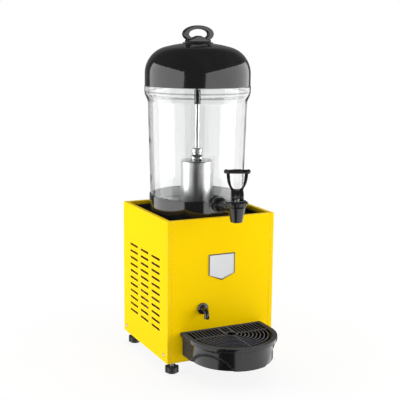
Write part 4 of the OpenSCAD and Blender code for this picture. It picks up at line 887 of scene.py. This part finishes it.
def screw_seat(points, head_height):
    """Where the underside of a screw's head sits, and the way that its head faces."""
    low = Vector(min(p[i] for p in points) for i in range(3))
    high = Vector(max(p[i] for p in points) for i in range(3))
    middle = (low + high) / 2.0
    lean = sum(points, Vector()) / len(points) - middle
    axis = max(range(3), key=lambda i: abs(lean[i]))
    facing = Vector((0.0, 0.0, 0.0))
    facing[axis] = math.copysign(1.0, lean[axis])
    seat = middle + facing * ((high - low)[axis] / 2.0 - head_height)
    return seat, facing


# Operators

class DISPENSER_OT_finishes(Operator):
    """Give every part its procedural finish"""

    bl_idname = "dispenser.finishes"
    bl_label = "Finishes"

    def execute(self, context):
        for name, node in NODES.items():
            for place in node.material_slots:
                place.material = finish_of(SLOT_OF[name])
        return {"FINISHED"}


class DISPENSER_OT_cabinet(Operator):
    """Round the edges of the cabinet's folded sheets, the basin and the badge"""

    bl_idname = "dispenser.cabinet"
    bl_label = "Cabinet"

    def execute(self, context):
        sizes = context.scene.dispenser_sizes
        for node in ("left_side_panel", "right_side_panel", "front_panel", "back_panel"):
            soften(node, sizes.sheet_round)
        soften("basin", sizes.mould_round)
        soften("badge_plate", sizes.fine_round)
        return {"FINISHED"}


class DISPENSER_OT_screws(Operator):
    """Grow the cross-head screws that hold the panels and the tray's bracket"""

    bl_idname = "dispenser.screws"
    bl_label = "Panel screws"

    def execute(self, context):
        sizes = context.scene.dispenser_sizes
        seats = [screw_seat(points, sizes.screw_height) for points in islands("panel_screws")]
        piece = points_object("panel_screws_grown", *zip(*seats))
        recipe = Recipe("pan_head_screws", {
            "Head diameter": sizes.screw_head, "Head height": sizes.screw_height,
            "Shank diameter": sizes.screw_shank, "Shank length": sizes.screw_length,
            "Recess length": RECESS_LENGTH * sizes.screw_head,
            "Recess width": RECESS_WIDTH * sizes.screw_head,
            "Recess depth": RECESS_DEPTH * sizes.screw_height})
        size = recipe.size
        screw = recipe.joined(self.head(recipe, size), self.shank(recipe, size))
        facing = recipe.node("GeometryNodeInputNamedAttribute", {"Name": "facing"},
                             data_type="FLOAT_VECTOR")
        turn = recipe.node("FunctionNodeAlignRotationToVector", {"Vector": facing}, axis="Z")
        screws = recipe.node("GeometryNodeInstanceOnPoints", {
            "Points": size["Geometry"], "Instance": screw, "Rotation": turn})
        slot = SLOT_OF["panel_screws"]
        fit_out(recipe.grow(piece, screws, finish_of(slot)), slot, "panel_screws")
        return {"FINISHED"}

    def head(self, recipe, size):
        """A domed head with a cross cut into it, one arm after the other."""
        head = recipe.turned(size["Head height"], 7, lambda share: (
            size["Head diameter"] * 0.5 * (1.0 - HEAD_TAPER * share ** 3.0)))
        cut = (size["Recess length"], size["Recess width"], size["Recess depth"] * 2.0)
        for angle in (0.0, math.pi / 2.0):
            arm = recipe.moved(recipe.bar(*cut), z=size["Head height"], turn=(0.0, 0.0, angle))
            head = recipe.node("GeometryNodeMeshBoolean", {"Mesh 1": head, "Mesh 2": arm}, "Mesh",
                               operation="DIFFERENCE", solver="EXACT")
        return recipe.node("GeometryNodeTriangulate", {"Mesh": head})

    def shank(self, recipe, size):
        """A shank below the head with a thread of saw teeth."""
        shank = recipe.turned(size["Shank length"], 24, lambda share: (
            size["Shank diameter"] * 0.5
            * (1.0 - THREAD_DEPTH + THREAD_DEPTH * ((share * THREAD_TURNS) % 1.0))))
        return recipe.moved(shank, z=0.0 - size["Shank length"])


class DISPENSER_OT_tank(Operator):
    """Round the edges of the clear tank and its base ring"""

    bl_idname = "dispenser.tank"
    bl_label = "Tank"

    def execute(self, context):
        sizes = context.scene.dispenser_sizes
        for node in ("tank", "tank_base"):
            soften(node, sizes.fine_round)
        return {"FINISHED"}


class DISPENSER_OT_lid(Operator):
    """Round the edges of the domed lid and its loop handle"""

    bl_idname = "dispenser.lid"
    bl_label = "Lid"

    def execute(self, context):
        sizes = context.scene.dispenser_sizes
        soften("lid", sizes.mould_round, 3)
        soften("lid_handle", 2.0 * sizes.mould_round, 4)
        return {"FINISHED"}


class DISPENSER_OT_fountain(Operator):
    """Turn the pump bell, and round the edges of the drum, the riser tube and the spray cap"""

    bl_idname = "dispenser.fountain"
    bl_label = "Drum and fountain"

    def execute(self, context):
        sizes = context.scene.dispenser_sizes
        soften("cooling_drum", sizes.mould_round, 3)
        soften("pump_bell", sizes.fine_round, shape=self.bell())
        soften("riser_cap", sizes.fine_round)
        soften("riser_tube", sizes.fine_round, finish="drawn_steel")
        return {"FINISHED"}

    def bell(self):
        """The bell's sole as it is, and above it a belly, a waist and a nut with soft edges."""
        low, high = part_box("pump_bell")
        cut, height = 0.0028, high[2] - low[2]
        chamber, roof, bore, socket, grip = 0.00975, 0.009, 0.0041, 0.0053, 0.007
        belly = bent([(0.0152, cut), (0.0153, 0.006), (0.0142, 0.0095), (0.0117, 0.0130),
                      (0.0113, 0.0158)])
        nut = bent([(0.0113, 0.0166), (0.0126, 0.0174), (0.0129, 0.0190)])
        nut += bent([(0.0129, 0.0245), (0.0125, 0.0262), (0.0112, height)])
        inside = [(socket, height), (socket, height - grip), (bore, height - grip),
                  (bore, height - roof), (chamber, height - roof), (chamber, cut)]
        outline = [(radius, low[2] + z) for radius, z in belly + nut + inside]
        centre = ((low[0] + high[0]) / 2.0, (low[1] + high[1]) / 2.0)
        sole = cut_off(joined_copy("pump_bell"), low[2] + cut, False)
        return added(sole, lathed(outline, centre))


class DISPENSER_OT_tap(Operator):
    """Shape the tap's handle, and round the edges of its mouldings"""

    bl_idname = "dispenser.tap"
    bl_label = "Tap"

    def execute(self, context):
        sizes = context.scene.dispenser_sizes
        for node in ("tap_body", "tap_bonnet"):
            soften(node, sizes.fine_round, finish="tap_black")
        soften("tap_handle", sizes.mould_round, 3, shape=self.handle())
        return {"FINISHED"}

    def handle(self):
        """The handle's hub and bar as they are, and between them a goblet with a round window."""
        low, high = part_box("tap_bonnet")
        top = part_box("tap_handle")[1][2]
        hub, bar = top - HUB_DROP, top - BAR_DROP
        rise = bar - hub + GOBLET_SUNK
        outside = bent([(0.0130, -0.001), (0.0146, 0.0035), (0.0172, 0.008), (0.0200, 0.0145),
                        (0.0222, 0.025), (0.0230, rise)])
        inside = bent([(0.0, 0.0005), (0.0062, 0.0012), (0.0098, 0.0045), (0.0124, 0.010),
                       (0.0142, 0.019), (0.0155, rise)])
        half = outside + inside[:0:-1]
        goblet = plate(half + [inside[0]] + [(-x, z) for x, z in reversed(half)], GOBLET_DEPTH)
        centre = ((low[0] + high[0]) / 2.0, (low[1] + high[1]) / 2.0, hub)
        place = Matrix.Translation(centre) @ Matrix.Rotation(HANDLE_TURN, 4, "Z")
        bmesh.ops.transform(goblet, matrix=place, verts=goblet.verts[:])
        ends = added(cut_off(joined_copy("tap_handle"), hub - GOBLET_LAP, False),
                     cut_off(joined_copy("tap_handle"), bar + GOBLET_LAP, True))
        return added(ends, goblet)


class DISPENSER_OT_tray(Operator):
    """Round the edges of the drip tray, its grille and the drain spout"""

    bl_idname = "dispenser.tray"
    bl_label = "Drip tray"

    def execute(self, context):
        sizes = context.scene.dispenser_sizes
        low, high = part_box("drip_tray")
        back, sole, rim = high[1] - 0.02, low[2] + 0.002, high[2] - 0.012
        rib_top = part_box("drip_grille")[1][2] - RIB_DEPTH
        soften("drip_tray", sizes.mould_round, finish="tray_black", first=(
            sizes.arch_round, lambda place: place.y < back and sole < place.z < rim))
        soften("drip_grille", 0.6 * sizes.fine_round, finish="grille_black", first=(
            sizes.rib_round, lambda place: place.z > rib_top))
        soften("drain_spout", sizes.fine_round)
        return {"FINISHED"}


class DISPENSER_OT_feet(Operator):
    """Round the lobes of the four star feet"""

    bl_idname = "dispenser.feet"
    bl_label = "Feet"

    def execute(self, context):
        sizes = context.scene.dispenser_sizes
        for place in ("front_left", "front_right", "back_left", "back_right"):
            soften("foot_" + place, sizes.mould_round, finish="foot_black")
        return {"FINISHED"}


class DISPENSER_OT_controls(Operator):
    """Round the edges of the rear switches, the thermostat's knob and the cable gland"""

    bl_idname = "dispenser.controls"
    bl_label = "Rear controls"

    def execute(self, context):
        sizes = context.scene.dispenser_sizes
        for node in ("switch_housings", "cooling_switch", "pump_switch", "thermostat_knob",
                     "cord_gland"):
            soften(node, sizes.fine_round)
        return {"FINISHED"}


class DISPENSER_OT_dial(Operator):
    """Grow the marks around the thermostat's knob, and put a pointer on the knob"""

    bl_idname = "dispenser.dial"
    bl_label = "Dial marks"

    def execute(self, context):
        sizes = context.scene.dispenser_sizes
        low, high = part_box("thermostat_knob")
        self.add_marks(sizes, low, high)
        self.add_pointer(low, high)
        return {"FINISHED"}

    def add_marks(self, sizes, low, high):
        """Sets marks on the back panel, from the pointer's rest to the end of its turn."""
        piece = points_object("dial_marks", [(0.0, 0.0, 0.0)])
        recipe = Recipe("dial_marks", {
            "Marks": sizes.dial_marks, "Sweep": sizes.dial_sweep,
            "Radius": 0.5 * (high[0] - low[0]) + DIAL_GAP,
            "Mark length": MARK_LENGTH, "Mark width": MARK_WIDTH, "Mark height": MARK_HEIGHT,
            "X": 0.5 * (low[0] + high[0]), "Y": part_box("back_panel")[1][1],
            "Z": 0.5 * (low[2] + high[2])})
        size = recipe.size
        arc = recipe.node("GeometryNodeCurveArc", {
            "Resolution": 128, "Radius": size["Radius"], "Sweep Angle": size["Sweep"],
            "Start Angle": 0.5 * math.pi - size["Sweep"]}, "Curve", mode="RADIUS")
        points = recipe.node("GeometryNodeCurveToPoints", {"Curve": arc, "Count": size["Marks"]},
                             "Points", mode="COUNT")
        turn = recipe.node("FunctionNodeAlignRotationToVector",
                           {"Vector": points.beside("Tangent")}, axis="Y")
        index = recipe.node("GeometryNodeInputIndex")
        stretch = 1.0 + LONG_MARK * (1.0 - (index % MARK_GROUP).above(0.5))
        marks = recipe.node("GeometryNodeInstanceOnPoints", {
            "Points": points, "Rotation": turn, "Scale": recipe.vector(stretch, 1.0, 1.0),
            "Instance": recipe.bar(size["Mark length"], size["Mark width"], size["Mark height"])})
        marks = recipe.moved(marks, size["X"], size["Y"] + 0.5 * size["Mark height"], size["Z"],
                             (math.pi / 2.0, 0.0, 0.0))
        piece = recipe.grow(piece, marks, finish_of("dial_print"))
        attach(piece, NODES["back_panel"]["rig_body"])

    def add_pointer(self, low, high):
        """Fills the groove in the knob's face with a pale pointer."""
        half, start, stop = 0.00072, 0.0026, 0.5 * (high[2] - low[2]) - 0.0048
        sunk, depth = 0.0001, 0.0009
        arc = [math.pi * step / 8.0 for step in range(9)]
        outline = [(half * math.cos(a), stop + half * math.sin(a)) for a in arc]
        outline += [(-half * math.cos(a), start - half * math.sin(a)) for a in arc]
        bm = plate(outline, depth)
        bmesh.ops.translate(bm, verts=bm.verts[:], vec=(
            0.5 * (low[0] + high[0]), high[1] - sunk - 0.5 * depth, 0.5 * (low[2] + high[2])))
        piece = settled("dial_pointer", bm, finish_of("ivory_plastic"))
        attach(piece, NODES["thermostat_knob"]["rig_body"])


class DISPENSER_OT_stage(Operator):
    """Set up the floor, the even light, the softboxes and the camera"""

    bl_idname = "dispenser.stage"
    bl_label = "Stage"

    def execute(self, context):
        stage = context.scene.dispenser_stage
        self.make_floor()
        self.make_world(context, stage)
        side = LAMP_SIDE * Vector((math.cos(stage.yaw), -math.sin(stage.yaw), 0.0))
        near = LAMP_NEAR * Vector((-math.sin(stage.yaw), -math.cos(stage.yaw), 0.0))
        for name, place, size, power in (
                ("softbox_left", LAMP_TARGET - side + near, SIDE_LAMP_SIZE, stage.key),
                ("softbox_right", LAMP_TARGET + side + near, SIDE_LAMP_SIZE, stage.fill),
                ("softbox_top", Vector(LAMP_TOP), TOP_LAMP_SIZE, stage.top)):
            self.make_lamp(name, place, size, power)
        self.make_camera(context, stage)
        context.scene.view_settings.view_transform = "Standard"
        return {"FINISHED"}

    def make_floor(self):
        """A white floor that the camera sees as bright, apart from the shadow on it."""
        mesh = bpy.data.meshes.new("floor")
        bm = bmesh.new()
        bmesh.ops.create_circle(bm, cap_ends=True, segments=96, radius=FLOOR_RADIUS)
        bm.to_mesh(mesh)
        bm.free()
        floor = placed("floor", mesh)
        floor.visible_glossy = False
        floor.visible_transmission = False
        material = bpy.data.materials.new("floor_white")
        material.use_nodes = True
        book = Book(material.node_tree)
        book.tree.nodes.clear()
        place = book.node("ShaderNodeTexCoord", out="Object")
        away = book.node("ShaderNodeVectorMath", {0: place}, "Value", operation="LENGTH")
        clean = book.window(away, *FLOOR_BRIGHT)
        paint = book.node("ShaderNodeBsdfDiffuse", {"Color": (0.92, 0.92, 0.92, 1.0)})
        glow = book.node("ShaderNodeEmission", {"Color": (1.0, 1.0, 1.0, 1.0), "Strength": 1.0})
        both = book.node("ShaderNodeMixShader", {0: book.ray("Camera") * clean, 1: paint, 2: glow})
        book.node("ShaderNodeOutputMaterial", {"Surface": both}, out=None)
        mesh.materials.append(material)

    def make_world(self, context, stage):
        """White for the camera, even light for surfaces, and a room with two panels in mirrors."""
        world = bpy.data.worlds.new("studio")
        context.scene.world = world
        world.use_nodes = True
        book = Book(world.node_tree)
        book.tree.nodes.clear()
        camera, through, mirror = map(book.ray, ("Camera", "Transmission", "Glossy"))
        way = book.node("ShaderNodeTexCoord", out="Generated")
        behind = book.share(way, (math.sin(stage.yaw), math.cos(stage.yaw), 0.0))
        right = book.share(way, (math.cos(stage.yaw), -math.sin(stage.yaw), 0.0))
        rise = book.share(way, (0.0, 0.0, 1.0))
        spread = (1.0 - rise * rise).at_least(0.0004) ** 0.5
        towards = (0.0 - behind) / spread
        climb = rise / spread
        aside = (1.0 - towards * towards).at_least(0.0) ** 0.5
        tall = book.window(climb - PANEL_SLOPE * aside, -PANEL_EDGE, PANEL_EDGE, *FALLING) \
            * book.window(climb, *PANEL_FOOT)
        low = book.window(climb, *PANEL_LOW, *FALLING)
        on_right = right.above(0.0)
        gleam = 0.0
        for side, (start, end, lean), level in (
                (1.0 - on_right, LEFT_PANEL, stage.left_gleam),
                (on_right, RIGHT_PANEL, stage.right_gleam)):
            panel = side * book.window(towards, *start) \
                * book.window(towards + lean * low, *end, *FALLING)
            gleam = panel * level + gleam
        bounce = book.window(climb, *PANEL_BOUNCE)
        room = ROOM_LEVEL + tall * gleam * bounce + book.window(behind, *BACK_GLOW)
        clear = room.at_most(CLEAR_LIMIT).at_least(book.window(behind, *CLEAR_BACK))
        even = (1.0 - mirror.at_least(through)) * stage.ambient
        level = through * clear + (1.0 - through) * mirror * room + even
        level = camera + (1.0 - camera) * level
        light = book.node("ShaderNodeBackground", {
            "Color": (1.0, 1.0, 1.0, 1.0), "Strength": level})
        book.node("ShaderNodeOutputWorld", {"Surface": light}, out=None)

    def make_lamp(self, name, place, size, power):
        """A softbox that looks at the part and isn't mirrored in it."""
        lamp = bpy.data.lights.new(name, "AREA")
        lamp.shape = "RECTANGLE"
        lamp.size, lamp.size_y = size
        lamp.energy = power
        holder = placed(name, lamp)
        holder.location = place
        holder.rotation_euler = (LAMP_TARGET - place).to_track_quat("-Z", "Y").to_euler()
        holder.visible_glossy = False

    def make_camera(self, context, stage):
        """The photograph's camera, from its place, its three turns and its lens."""
        lens = bpy.data.cameras.new("camera")
        lens.lens = stage.lens
        lens.sensor_width = 36.0
        lens.clip_end = 100.0
        ahead = Vector((math.sin(stage.yaw) * math.cos(stage.pitch),
                        math.cos(stage.yaw) * math.cos(stage.pitch), -math.sin(stage.pitch)))
        right = Vector((math.cos(stage.yaw), -math.sin(stage.yaw), 0.0))
        up = right.cross(ahead)
        turn, lift = math.cos(stage.roll), math.sin(stage.roll)
        across = turn * right + lift * up
        upward = turn * up - lift * right
        pose = Matrix((across, upward, -ahead)).transposed().to_4x4()
        pose.translation = Vector(stage.eye)
        camera = placed("camera", lens)
        camera.matrix_world = pose
        context.scene.camera = camera


STEPS = (
    DISPENSER_OT_finishes, DISPENSER_OT_cabinet, DISPENSER_OT_screws, DISPENSER_OT_tank,
    DISPENSER_OT_lid, DISPENSER_OT_fountain, DISPENSER_OT_tap, DISPENSER_OT_tray,
    DISPENSER_OT_feet, DISPENSER_OT_controls, DISPENSER_OT_dial, DISPENSER_OT_stage)


class DISPENSER_PT_sidebar(Panel):
    """Sizes, colours and steps of the dispenser"""

    bl_idname = "DISPENSER_PT_sidebar"
    bl_label = "Dispenser"
    bl_space_type = "VIEW_3D"
    bl_region_type = "UI"
    bl_category = "Dispenser"

    def draw(self, context):
        for name, group in GROUPS.items():
            box = self.layout.box()
            for key in group.__annotations__:
                box.prop(getattr(context.scene, name), key)
        for step in STEPS:
            self.layout.operator(step.bl_idname)


GROUPS = {
    "dispenser_sizes": DispenserSizes, "dispenser_colours": DispenserColours,
    "dispenser_stage": DispenserStage,
}
CLASSES = (*GROUPS.values(), *STEPS, DISPENSER_PT_sidebar)


def register():
    for item in CLASSES:
        bpy.utils.register_class(item)
    for name, group in GROUPS.items():
        setattr(bpy.types.Scene, name, PointerProperty(type=group))


def unregister():
    for name in GROUPS:
        delattr(bpy.types.Scene, name)
    for item in reversed(CLASSES):
        bpy.utils.unregister_class(item)


def main():
    register()
    for step in STEPS:
        group, name = step.bl_idname.split(".")
        getattr(getattr(bpy.ops, group), name)()


if __name__ == "__main__":
    main()
